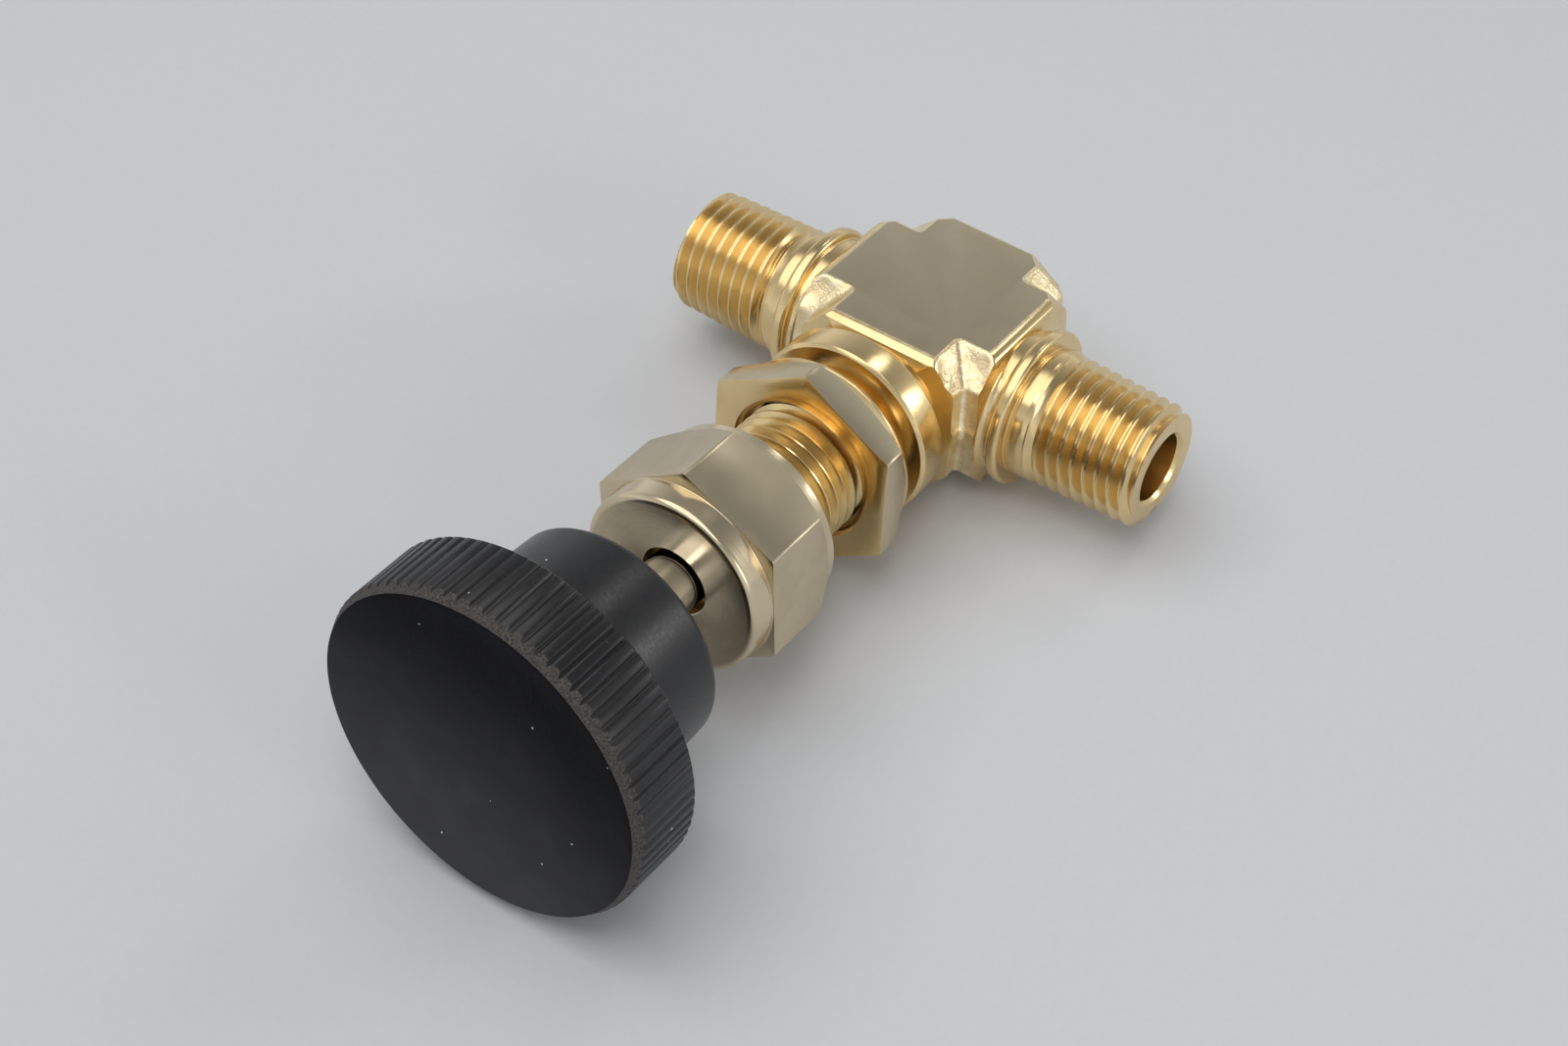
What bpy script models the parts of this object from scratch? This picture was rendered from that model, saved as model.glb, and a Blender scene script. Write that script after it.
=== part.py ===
"""Needle valve with two in-line male pipe ends, a panel-mount neck and a round handle.

The ports run along X and the body's two forged flats face +Z and -Z. The stem runs
along -Y, toward the handle. The origin is on the stem axis, in the face of the neck's
collar that a panel is clamped against.
Stations along the stem are called s and count from the axis of the ports toward the
handle. Stations along a port are called x and count from the stem axis.
Driving dimensions are in millimetres and are turned into metres where a mesh is made.
"""
import math

import bmesh
import bpy
from mathutils import Matrix, Vector

MM = 0.001
GAP = 0.3                       # working gap between neighbouring pieces

# Threads: 1/4-18 NPT on the ports and 9/16-18 UNF on the neck
THREAD_PITCH = 25.4 / 18
THREAD_DEPTH = 0.95
THREAD_STEPS = 18               # facets in one turn
GROOVE_HALF_ANGLE = math.radians(30)
GROOVE_MARGIN = 0.2             # how far a groove cutter stands outside the crest
PIPE_TAPER = 1 / 32             # radius lost for each unit of length
THREAD_RAMP = 0.5               # length over which a plain part meets the crest

# Forged body
FLAT_HALF_HEIGHT = 8.5
SHOULDER_HALF_HEIGHT = 5.4
NECK_ARM_HALF_WIDTH = 6.3
NECK_ARM_END = 10.8
NECK_WEB_HALF_WIDTH = 9.3
PORT_ARM_END = 11.6
PORT_ARM_NEAR = 4.7
PORT_ARM_FAR = -7.3
PORT_WEB_NEAR = 7.8
PORT_WEB_FAR = -9.6
BASE_FLAT_END = -11.7
BASE_WEB_END = -12.6
CORNER_CUT = 1.4
BLANK_ROOT = 3.0                # how far a port blank reaches into the forging

# Ports
PORT_END = 28.58
PORT_COLLAR_START = 12.6
PORT_COLLAR_END = 14.6
PORT_COLLAR_RADIUS = 8.5
PORT_COLLAR_EDGE = 0.5
PORT_GROOVE_RADIUS = 7.6
PORT_SHANK_RADIUS = 7.15
PORT_THREAD_START = 16.0
PORT_CREST_RADIUS = 6.95       # at the thread's start, before the taper
PORT_FACE_RADIUS = 5.95
PORT_BORE_RADIUS = 3.7
PORT_BORE_END = 14.0
PORT_MOUTH_CHAMFER = 0.35
DRILL_HALF_ANGLE = math.radians(59)

# Neck that carries the panel nut and the packing nut
NECK_COLLAR_START = 12.0
NECK_COLLAR_END = 15.4
NECK_COLLAR_RADIUS = 10.05
NECK_COLLAR_EDGE = 0.4
NECK_SEAT_INNER_RADIUS = 7.5
NECK_SEAT_RELIEF = 0.3
NECK_ROOT_RADIUS = 9.0
NECK_ROOT_RAMP = 0.6
NECK_ROOT_START = 9.8
NECK_ROOT_START_RADIUS = 8.4
NECK_UNDERCUT_END = 16.7
NECK_UNDERCUT_RADIUS = 6.1
NECK_CREST_RADIUS = 7.14
NECK_END = 36.6
NECK_END_CHAMFER = 0.9
STEM_BORE_RADIUS = 3.9
PACKING_BORE_START = 23.0
PACKING_BORE_RADIUS = 4.9

# Flow passages and seat
SEAT = -0.5
ORIFICE_RADIUS = 2.2
ORIFICE_END = -7.0
DRILLING_RADIUS = 2.2
DRILLING_START = 14.5
INLET_DRILLING_S = -6.0
OUTLET_DRILLING_S = 2.6

# Hexagon nuts
HEX_FLATS = 20.64
HEX_CHAMFER_RADIUS = 9.9
NUT_BORE_RADIUS = NECK_CREST_RADIUS + GAP
PANEL_NUT_START = 18.5
PANEL_NUT_CORNER_START = 20.2
PANEL_NUT_END = 22.9
PANEL_NUT_COUNTERSINK = 8.2
PANEL_NUT_CORNER = math.radians(30.2)
PACKING_NUT_START = 31.4
PACKING_NUT_CORNER_START = 33.9
PACKING_NUT_SHOULDER = 41.2
PACKING_NUT_END = 44.0
PACKING_NUT_CEILING = 40.2
PACKING_NUT_CORNER = math.radians(33.9)
PACKING_NUT_COLLAR_RADIUS = 10.17
PACKING_NUT_RIM_RADIUS = 10.1
PACKING_NUT_RIM_ROUND = 0.6
PACKING_NUT_FACE_DIP = 0.5
PACKING_NUT_HOLE_RADIUS = 3.75

# Stem, needle tip and packing, drawn two turns open
STEM_LEAD = 25.4 / 24
TURNS_OPEN = 2.0
LIFT = STEM_LEAD * TURNS_OPEN
STEM_RADIUS = 3.175
STEM_THREAD_RADIUS = STEM_BORE_RADIUS - GAP
STEM_FOOT_RADIUS = 2.9
STEM_THREAD_START = 9.5
STEM_END = 64.6
STEM_END_CHAMFER = 0.5
TIP_SHANK_RADIUS = 1.4
TIP_SHANK_LENGTH = 3.5
TIP_COLLAR_LENGTH = 1.5
TIP_POINT_RADIUS = 0.8
TIP_HALF_ANGLE = math.radians(30)
PACKING_OUTER_RADIUS = PACKING_BORE_RADIUS - GAP
PACKING_INNER_RADIUS = STEM_RADIUS + GAP
WASHER_THICKNESS = 1.2
RING_HEIGHT = 2.2
CHEVRON_RISE = 0.5
GLAND_FLANGE_START = 37.2
GLAND_FLANGE_RADIUS = 6.3

# Handle
HUB_START = 52.1
HUB_RADIUS = 11.95
HUB_ROOT_RADIUS = 12.5
HUB_EDGE = 0.9
HUB_SINK = 2.0                  # how far the hub reaches into the rim
RIM_START = 63.9
RIM_CHAMFER_START = 71.4
RIM_END = 72.55
RIM_RADIUS = 18.35
RIM_EDGE_RADIUS = 17.75
RIM_LIP = 0.25
RIM_LIP_DROP = 0.05
DISH_DEPTH = 2.6
DISH_STEPS = 7
FLUTE_COUNT = 78
FLUTE_DEPTH = 0.5
INSERT_RADIUS = 5.5
INSERT_END = 65.2
SET_SCREW_S = 58.0
SET_SCREW_RADIUS = 1.7
SET_SCREW_TOP = 8.6
SET_SCREW_POINT = 0.7
SET_SCREW_SOCKET = 0.9
SET_SCREW_SOCKET_DEPTH = 1.8

ROUND_STEPS = 48
SMALL_STEPS = 32
SCREW_STEPS = 16
SMOOTH_ANGLE = math.radians(35)
OVERSHOOT = 1.0                 # how far a cutter reaches past the face it opens

AXES_CROSSING = Matrix.Translation((0, NECK_COLLAR_END * MM, 0))
ALONG_STEM = AXES_CROSSING @ Matrix.Rotation(math.radians(90), 4, "X")
ALONG_RIGHT_PORT = AXES_CROSSING @ Matrix.Rotation(math.radians(90), 4, "Y")
ALONG_LEFT_PORT = AXES_CROSSING @ Matrix.Rotation(math.radians(-90), 4, "Y")
ALONG_SET_SCREW = (AXES_CROSSING @ Matrix.Translation((0, -SET_SCREW_S * MM, 0))
                   @ Matrix.Rotation(math.radians(180), 4, "X"))


def clear_scene():
    for existing in list(bpy.data.objects):
        bpy.data.objects.remove(existing, do_unlink=True)


def new_collection(name):
    made = bpy.data.collections.new(name)
    bpy.context.scene.collection.children.link(made)
    return made


def new_material(name, colour, roughness, metallic):
    made = bpy.data.materials.new(name)
    made.use_nodes = True
    shader = made.node_tree.nodes["Principled BSDF"]
    shader.inputs["Base Color"].default_value = (*colour, 1.0)
    shader.inputs["Roughness"].default_value = roughness
    shader.inputs["Metallic"].default_value = metallic
    return made


def new_object(name, mesh, collection, placement):
    made = bpy.data.objects.new(name, mesh)
    made.matrix_world = placement
    collection.objects.link(made)
    if collection is CUTTERS:
        made.hide_render = True
        made.display_type = "WIRE"
    return made


def mesh_from(name, bm):
    mesh = bpy.data.meshes.new(name)
    bm.to_mesh(mesh)
    bm.free()
    return mesh


def turned(name, profile, collection, placement, closed=False, steps=ROUND_STEPS):
    """A turned piece: (radius, height) points down the outer side, spun about Z."""
    bm = bmesh.new()
    points = [bm.verts.new((r * MM, 0.0, h * MM)) for r, h in profile]
    for first, second in zip(points, points[1:]):
        bm.edges.new((first, second))
    if closed:
        bm.edges.new((points[-1], points[0]))
    made = new_object(name, mesh_from(name, bm), collection, placement)
    screw = made.modifiers.new("turn", "SCREW")
    screw.steps = steps
    screw.render_steps = steps
    screw.use_merge_vertices = True
    screw.merge_threshold = 1e-6
    return made


def quarter_round(radius, end, edge):
    """Profile points of a rounded edge; a positive edge rounds a top, a negative one a bottom."""
    angles = [math.radians(a) for a in (90, 45, 0)]
    size = abs(edge)
    return [(radius - size + size * math.cos(a), end - edge + edge * math.sin(a)) for a in angles]


def rod(name, radius, bottom, top, placement, steps=SMALL_STEPS):
    """A plain round cutter."""
    return turned(name, [(0, top), (radius, top), (radius, bottom), (0, bottom)],
                  CUTTERS, placement, steps=steps)


def prism(name, radius, sides, corner, bottom, top, collection, placement):
    """A regular prism with one corner at the given angle."""
    bm = bmesh.new()
    bmesh.ops.create_cone(bm, cap_ends=True, segments=sides, radius1=radius * MM,
                          radius2=radius * MM, depth=(top - bottom) * MM)
    first_corner = max(bm.verts, key=lambda v: v.co.x)
    turn = corner - math.atan2(first_corner.co.y, first_corner.co.x)
    bmesh.ops.rotate(bm, verts=bm.verts, matrix=Matrix.Rotation(turn, 3, "Z"))
    bmesh.ops.translate(bm, verts=bm.verts, vec=(0, 0, (top + bottom) / 2 * MM))
    return new_object(name, mesh_from(name, bm), collection, placement)


def combine(target, other, operation):
    boolean = target.modifiers.new(other.name, "BOOLEAN")
    boolean.operation = operation
    boolean.object = other
    boolean.solver = "EXACT"


def thread_groove(name, crest_radius, start, end, taper, placement):
    """A right-hand helical V that runs in over its first turn and leaves past the end."""
    reach = THREAD_DEPTH + GROOVE_MARGIN
    half_width = reach * math.tan(GROOVE_HALF_ANGLE)
    turns = (end - start) / THREAD_PITCH + 1
    steps = round(turns * THREAD_STEPS)
    bm = bmesh.new()
    corners = [(-THREAD_DEPTH, 0.0), (GROOVE_MARGIN, half_width), (GROOVE_MARGIN, -half_width)]
    face = bm.faces.new([bm.verts.new(((crest_radius + dr) * MM, 0, (start + dz) * MM))
                         for dr, dz in corners])
    step_rise = THREAD_PITCH / THREAD_STEPS
    bmesh.ops.spin(bm, geom=[face, *face.edges, *face.verts], cent=(0, 0, 0), axis=(0, 0, 1),
                   dvec=(0, 0, step_rise * MM), angle=steps * math.tau / THREAD_STEPS,
                   steps=steps, use_duplicate=False)
    for vert in bm.verts:
        height = vert.co.z / MM
        run_in = max(0.0, 1 - (height - start) / THREAD_PITCH)
        radius = vert.co.xy.length
        shifted = radius + (run_in * THREAD_DEPTH - taper * (height - start)) * MM
        vert.co.xy *= shifted / radius
    bmesh.ops.recalc_face_normals(bm, faces=bm.faces)
    return new_object(name, mesh_from(name, bm), CUTTERS, placement)


def mirrored_outline(right_side):
    """An outline that is the same on both sides of the stem, from its right half."""
    return right_side + [(-x, s) for x, s in reversed(right_side)]


def forging():
    """The plus-shaped block: two flats and wider shoulders, lofted between outlines."""
    flat = mirrored_outline([
        (NECK_ARM_HALF_WIDTH, NECK_ARM_END),
        (NECK_ARM_HALF_WIDTH, PORT_ARM_NEAR),
        (PORT_ARM_END, PORT_ARM_NEAR),
        (PORT_ARM_END, PORT_ARM_FAR + CORNER_CUT),
        (PORT_ARM_END - CORNER_CUT, PORT_ARM_FAR),
        (NECK_ARM_HALF_WIDTH, PORT_ARM_FAR),
        (NECK_ARM_HALF_WIDTH, BASE_FLAT_END + CORNER_CUT),
        (NECK_ARM_HALF_WIDTH - CORNER_CUT, BASE_FLAT_END)])
    wide = mirrored_outline([
        (NECK_WEB_HALF_WIDTH, NECK_ARM_END),
        (NECK_WEB_HALF_WIDTH, PORT_WEB_NEAR),
        (PORT_ARM_END, PORT_WEB_NEAR),
        (PORT_ARM_END, PORT_WEB_FAR + CORNER_CUT),
        (PORT_ARM_END - CORNER_CUT, PORT_WEB_FAR),
        (NECK_WEB_HALF_WIDTH, PORT_WEB_FAR),
        (NECK_WEB_HALF_WIDTH, BASE_WEB_END + CORNER_CUT),
        (NECK_WEB_HALF_WIDTH - CORNER_CUT, BASE_WEB_END)])
    levels = [(-FLAT_HALF_HEIGHT, flat), (-SHOULDER_HALF_HEIGHT, wide),
              (SHOULDER_HALF_HEIGHT, wide), (FLAT_HALF_HEIGHT, flat)]
    bm = bmesh.new()
    rings = [[bm.verts.new((x * MM, -s * MM, z * MM)) for x, s in outline]
             for z, outline in levels]
    count = len(flat)
    for lower, upper in zip(rings, rings[1:]):
        for i in range(count):
            j = (i + 1) % count
            bm.faces.new((lower[i], lower[j], upper[j], upper[i]))
    bm.faces.new(rings[0])
    bm.faces.new(rings[-1])
    bmesh.ops.recalc_face_normals(bm, faces=bm.faces)
    return new_object("valve_body", mesh_from("valve_body", bm), VALVE, AXES_CROSSING)


def port_blank(name, placement):
    end_crest = PORT_CREST_RADIUS - PIPE_TAPER * (PORT_END - PORT_THREAD_START)
    chamfer = end_crest - PORT_FACE_RADIUS
    return turned(name, [
        (0, PORT_END),
        (PORT_FACE_RADIUS, PORT_END),
        (end_crest, PORT_END - chamfer),
        (PORT_CREST_RADIUS, PORT_THREAD_START),
        (PORT_SHANK_RADIUS, PORT_THREAD_START - THREAD_RAMP),
        (PORT_SHANK_RADIUS, PORT_COLLAR_END),
        (PORT_COLLAR_RADIUS - PORT_COLLAR_EDGE, PORT_COLLAR_END),
        (PORT_COLLAR_RADIUS, PORT_COLLAR_END - PORT_COLLAR_EDGE),
        (PORT_COLLAR_RADIUS, PORT_COLLAR_START + PORT_COLLAR_EDGE),
        (PORT_COLLAR_RADIUS - PORT_COLLAR_EDGE, PORT_COLLAR_START),
        (PORT_GROOVE_RADIUS, PORT_COLLAR_START),
        (PORT_GROOVE_RADIUS, PORT_ARM_END - BLANK_ROOT),
        (0, PORT_ARM_END - BLANK_ROOT)], CUTTERS, placement, steps=THREAD_STEPS)


def neck_blank():
    return turned("neck_blank", [
        (0, NECK_END),
        (NECK_CREST_RADIUS - NECK_END_CHAMFER, NECK_END),
        (NECK_CREST_RADIUS, NECK_END - NECK_END_CHAMFER),
        (NECK_CREST_RADIUS, NECK_UNDERCUT_END),
        (NECK_UNDERCUT_RADIUS, NECK_UNDERCUT_END - THREAD_RAMP),
        (NECK_UNDERCUT_RADIUS, NECK_COLLAR_END + NECK_SEAT_RELIEF),
        (NECK_SEAT_INNER_RADIUS, NECK_COLLAR_END),
        (NECK_COLLAR_RADIUS - NECK_COLLAR_EDGE, NECK_COLLAR_END),
        (NECK_COLLAR_RADIUS, NECK_COLLAR_END - NECK_COLLAR_EDGE),
        (NECK_COLLAR_RADIUS, NECK_COLLAR_START),
        (NECK_ROOT_RADIUS, NECK_COLLAR_START - NECK_ROOT_RAMP),
        (NECK_ROOT_START_RADIUS, NECK_ROOT_START),
        (NECK_ROOT_START_RADIUS, PORT_ARM_NEAR),
        (0, PORT_ARM_NEAR)], CUTTERS, ALONG_STEM, steps=THREAD_STEPS)


def stem_bore():
    """The seat orifice, the stem bore and the packing bore in one cutter."""
    return turned("stem_bore", [
        (0, NECK_END + OVERSHOOT),
        (PACKING_BORE_RADIUS, NECK_END + OVERSHOOT),
        (PACKING_BORE_RADIUS, PACKING_BORE_START),
        (STEM_BORE_RADIUS, PACKING_BORE_START),
        (STEM_BORE_RADIUS, SEAT),
        (ORIFICE_RADIUS, SEAT),
        (ORIFICE_RADIUS, ORIFICE_END),
        (0, ORIFICE_END)], CUTTERS, ALONG_STEM, steps=SMALL_STEPS)


def port_bore(name, placement):
    mouth = PORT_BORE_RADIUS + PORT_MOUTH_CHAMFER + OVERSHOOT
    drill_point = PORT_BORE_RADIUS / math.tan(DRILL_HALF_ANGLE)
    return turned(name, [
        (0, PORT_END + OVERSHOOT),
        (mouth, PORT_END + OVERSHOOT),
        (PORT_BORE_RADIUS, PORT_END - PORT_MOUTH_CHAMFER),
        (PORT_BORE_RADIUS, PORT_BORE_END),
        (0, PORT_BORE_END - drill_point)], CUTTERS, placement, steps=SMALL_STEPS)


def drilling(name, side, inner_s):
    """A straight drilling from the bottom of a port bore to the stem axis."""
    outer = Vector((side * DRILLING_START * MM, 0, 0))
    inner = Vector((0, -inner_s * MM, 0))
    direction = inner - outer
    turn = Vector((0, 0, 1)).rotation_difference(direction).to_matrix().to_4x4()
    return rod(name, DRILLING_RADIUS, 0, direction.length / MM,
               AXES_CROSSING @ Matrix.Translation(outer) @ turn)


def valve_body(brass):
    body = forging()
    for name, placement in (("right_port", ALONG_RIGHT_PORT), ("left_port", ALONG_LEFT_PORT)):
        combine(body, port_blank(name, placement), "UNION")
    combine(body, neck_blank(), "UNION")
    for name, placement in (("right_thread", ALONG_RIGHT_PORT), ("left_thread", ALONG_LEFT_PORT)):
        groove = thread_groove(name, PORT_CREST_RADIUS, PORT_THREAD_START, PORT_END,
                               PIPE_TAPER, placement)
        combine(body, groove, "DIFFERENCE")
    combine(body, thread_groove("neck_thread", NECK_CREST_RADIUS, NECK_UNDERCUT_END, NECK_END,
                                0.0, ALONG_STEM), "DIFFERENCE")
    combine(body, stem_bore(), "DIFFERENCE")
    combine(body, port_bore("right_bore", ALONG_RIGHT_PORT), "DIFFERENCE")
    combine(body, port_bore("left_bore", ALONG_LEFT_PORT), "DIFFERENCE")
    combine(body, drilling("outlet_drilling", 1, OUTLET_DRILLING_S), "DIFFERENCE")
    combine(body, drilling("inlet_drilling", -1, INLET_DRILLING_S), "DIFFERENCE")
    body.data.materials.append(brass)


def hex_corner_radius():
    return HEX_FLATS / math.sqrt(3)


def chamfer_blank(name, start, corner_start, end):
    """A round blank that chamfers the corners of a hexagon at its body end."""
    outside = hex_corner_radius() + OVERSHOOT
    slope = (corner_start - start) / (hex_corner_radius() - HEX_CHAMFER_RADIUS)
    rise = slope * (outside - HEX_CHAMFER_RADIUS)
    return turned(name, [
        (0, end + OVERSHOOT),
        (outside, end + OVERSHOOT),
        (outside, start + rise),
        (HEX_CHAMFER_RADIUS, start),
        (0, start)], CUTTERS, ALONG_STEM)


def panel_nut(brass):
    nut = prism("panel_nut", hex_corner_radius(), 6, PANEL_NUT_CORNER,
                PANEL_NUT_START - OVERSHOOT, PANEL_NUT_END, VALVE, ALONG_STEM)
    combine(nut, chamfer_blank("panel_nut_blank", PANEL_NUT_START, PANEL_NUT_CORNER_START,
                               PANEL_NUT_END), "INTERSECT")
    mouth_depth = PANEL_NUT_COUNTERSINK - NUT_BORE_RADIUS
    bore = turned("panel_nut_bore", [
        (0, PANEL_NUT_END + OVERSHOOT),
        (PANEL_NUT_COUNTERSINK + OVERSHOOT, PANEL_NUT_END + OVERSHOOT),
        (NUT_BORE_RADIUS, PANEL_NUT_END - mouth_depth),
        (NUT_BORE_RADIUS, PANEL_NUT_START - OVERSHOOT),
        (0, PANEL_NUT_START - OVERSHOOT)], CUTTERS, ALONG_STEM)
    combine(nut, bore, "DIFFERENCE")
    nut.data.materials.append(brass)


def packing_nut(brass):
    nut = prism("packing_nut", hex_corner_radius(), 6, PACKING_NUT_CORNER,
                PACKING_NUT_START - OVERSHOOT, PACKING_NUT_SHOULDER, VALVE, ALONG_STEM)
    blank = chamfer_blank("packing_nut_blank", PACKING_NUT_START, PACKING_NUT_CORNER_START,
                          PACKING_NUT_SHOULDER)
    combine(nut, blank, "INTERSECT")
    rim = turned("packing_nut_rim", [
        (0, PACKING_NUT_END - PACKING_NUT_FACE_DIP),
        (PACKING_NUT_HOLE_RADIUS, PACKING_NUT_END - PACKING_NUT_FACE_DIP),
        *quarter_round(PACKING_NUT_RIM_RADIUS, PACKING_NUT_END, PACKING_NUT_RIM_ROUND),
        (PACKING_NUT_COLLAR_RADIUS, PACKING_NUT_SHOULDER),
        (PACKING_NUT_COLLAR_RADIUS, PACKING_NUT_SHOULDER - OVERSHOOT),
        (0, PACKING_NUT_SHOULDER - OVERSHOOT)], CUTTERS, ALONG_STEM)
    combine(nut, rim, "UNION")
    bore = turned("packing_nut_bore", [
        (0, PACKING_NUT_END + OVERSHOOT),
        (PACKING_NUT_HOLE_RADIUS, PACKING_NUT_END + OVERSHOOT),
        (PACKING_NUT_HOLE_RADIUS, PACKING_NUT_CEILING),
        (NUT_BORE_RADIUS, PACKING_NUT_CEILING),
        (NUT_BORE_RADIUS, PACKING_NUT_START - OVERSHOOT),
        (0, PACKING_NUT_START - OVERSHOOT)], CUTTERS, ALONG_STEM)
    combine(nut, bore, "DIFFERENCE")
    nut.data.materials.append(brass)


def packing_set(brass, plastic):
    """Support washer, three chevron rings and the gland that presses them."""
    inner = PACKING_INNER_RADIUS
    outer = PACKING_OUTER_RADIUS
    middle = (inner + outer) / 2
    bottom = PACKING_BORE_START + GAP
    top = bottom + WASHER_THICKNESS
    washer = turned("packing_support_washer", [
        (inner, top), (middle, top + CHEVRON_RISE), (outer, top), (outer, bottom),
        (inner, bottom)], VALVE, ALONG_STEM, closed=True, steps=SMALL_STEPS)
    washer.data.materials.append(brass)
    for place in ("lower", "middle", "upper"):
        bottom = top + GAP
        top = bottom + RING_HEIGHT
        ring = turned("packing_ring_" + place, [
            (inner, top), (middle, top + CHEVRON_RISE), (outer, top), (outer, bottom),
            (middle, bottom + CHEVRON_RISE), (inner, bottom)], VALVE, ALONG_STEM,
            closed=True, steps=SMALL_STEPS)
        ring.data.materials.append(plastic)
    bottom = top + GAP
    ceiling = PACKING_NUT_CEILING - GAP
    gland = turned("packing_gland", [
        (inner, ceiling), (GLAND_FLANGE_RADIUS, ceiling),
        (GLAND_FLANGE_RADIUS, GLAND_FLANGE_START), (outer, GLAND_FLANGE_START),
        (outer, bottom), (middle, bottom + CHEVRON_RISE), (inner, bottom)],
        VALVE, ALONG_STEM, closed=True, steps=SMALL_STEPS)
    gland.data.materials.append(brass)


def needle_levels():
    """Heights of the needle's point, cone base and collar top at the drawn opening."""
    contact = SEAT + GAP / math.sin(TIP_HALF_ANGLE) + LIFT
    slope = math.tan(TIP_HALF_ANGLE)
    point = contact - (ORIFICE_RADIUS - TIP_POINT_RADIUS) / slope
    base = contact + (STEM_FOOT_RADIUS - ORIFICE_RADIUS) / slope
    return point, base, base + TIP_COLLAR_LENGTH


def needle_tip(steel):
    point, base, collar = needle_levels()
    tip = turned("needle_tip", [
        (0, collar + TIP_SHANK_LENGTH),
        (TIP_SHANK_RADIUS, collar + TIP_SHANK_LENGTH),
        (TIP_SHANK_RADIUS, collar),
        (STEM_FOOT_RADIUS, collar),
        (STEM_FOOT_RADIUS, base),
        (TIP_POINT_RADIUS, point),
        (0, point)], VALVE, ALONG_STEM, steps=SMALL_STEPS)
    tip.data.materials.append(steel)


def stem(steel):
    collar = needle_levels()[2]
    foot = collar + GAP
    shoulder = PACKING_BORE_START - LIFT
    socket_radius = TIP_SHANK_RADIUS + GAP
    socket_end = collar + TIP_SHANK_LENGTH + GAP
    lead_in = STEM_THREAD_RADIUS - STEM_FOOT_RADIUS
    made = turned("stem", [
        (0, STEM_END),
        (STEM_RADIUS - STEM_END_CHAMFER, STEM_END),
        (STEM_RADIUS, STEM_END - STEM_END_CHAMFER),
        (STEM_RADIUS, shoulder),
        (STEM_THREAD_RADIUS, shoulder),
        (STEM_THREAD_RADIUS, STEM_THREAD_START),
        (STEM_FOOT_RADIUS, STEM_THREAD_START - lead_in),
        (STEM_FOOT_RADIUS, foot),
        (socket_radius, foot),
        (socket_radius, socket_end),
        (0, socket_end)], VALVE, ALONG_STEM, steps=SMALL_STEPS)
    made.data.materials.append(steel)


def dish_profile():
    """The shallow spherical face of the handle, from its middle to its edge."""
    ball = (RIM_EDGE_RADIUS ** 2 + DISH_DEPTH ** 2) / (2 * DISH_DEPTH)
    radii = [RIM_EDGE_RADIUS * i / DISH_STEPS for i in range(DISH_STEPS + 1)]
    return [(r, RIM_END - DISH_DEPTH + ball - math.sqrt(ball ** 2 - r ** 2)) for r in radii]


def handle_knob(plastic):
    """A fluted rim with a dished face, on a smooth hub that is bored for the insert."""
    knob = prism("handle_knob", RIM_RADIUS, 2 * FLUTE_COUNT, 0.0, RIM_START,
                 RIM_END + OVERSHOOT, VALVE, ALONG_STEM)
    for vert in knob.data.vertices:
        step = round(math.atan2(vert.co.y, vert.co.x) / (math.pi / FLUTE_COUNT))
        if step % 2:
            vert.co.xy *= 1 - FLUTE_DEPTH / RIM_RADIUS
    edge_slope = (RIM_RADIUS - RIM_EDGE_RADIUS) / (RIM_END - RIM_CHAMFER_START)
    outside = RIM_RADIUS + OVERSHOOT
    chamfer_low = RIM_CHAMFER_START - OVERSHOOT / edge_slope
    blank = turned("rim_blank", dish_profile() + [
        (RIM_EDGE_RADIUS + RIM_LIP, RIM_END - RIM_LIP_DROP),
        (outside, chamfer_low),
        (outside, RIM_START - OVERSHOOT),
        (0, RIM_START - OVERSHOOT)], CUTTERS, ALONG_STEM)
    combine(knob, blank, "INTERSECT")
    hub = turned("hub", [
        (0, RIM_START + HUB_SINK),
        (HUB_ROOT_RADIUS, RIM_START + HUB_SINK),
        (HUB_ROOT_RADIUS, RIM_START),
        *reversed(quarter_round(HUB_RADIUS, HUB_START, -HUB_EDGE)),
        (0, HUB_START)], CUTTERS, ALONG_STEM)
    combine(knob, hub, "UNION")
    combine(knob, rod("insert_bore", INSERT_RADIUS + GAP, HUB_START - OVERSHOOT,
                      INSERT_END + GAP, ALONG_STEM), "DIFFERENCE")
    combine(knob, set_screw_hole("knob_screw_hole"), "DIFFERENCE")
    knob.data.materials.append(plastic)


def set_screw_hole(name):
    return rod(name, SET_SCREW_RADIUS + GAP, STEM_RADIUS - OVERSHOOT,
               HUB_ROOT_RADIUS + OVERSHOOT, ALONG_SET_SCREW, steps=SCREW_STEPS)


def handle_insert(brass):
    insert = turned("handle_insert", [
        (0, INSERT_END),
        (INSERT_RADIUS, INSERT_END),
        (INSERT_RADIUS, HUB_START + GAP),
        (STEM_RADIUS + GAP, HUB_START + GAP),
        (STEM_RADIUS + GAP, STEM_END + GAP),
        (0, STEM_END + GAP)], VALVE, ALONG_STEM, steps=SMALL_STEPS)
    combine(insert, set_screw_hole("insert_screw_hole"), "DIFFERENCE")
    insert.data.materials.append(brass)


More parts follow.
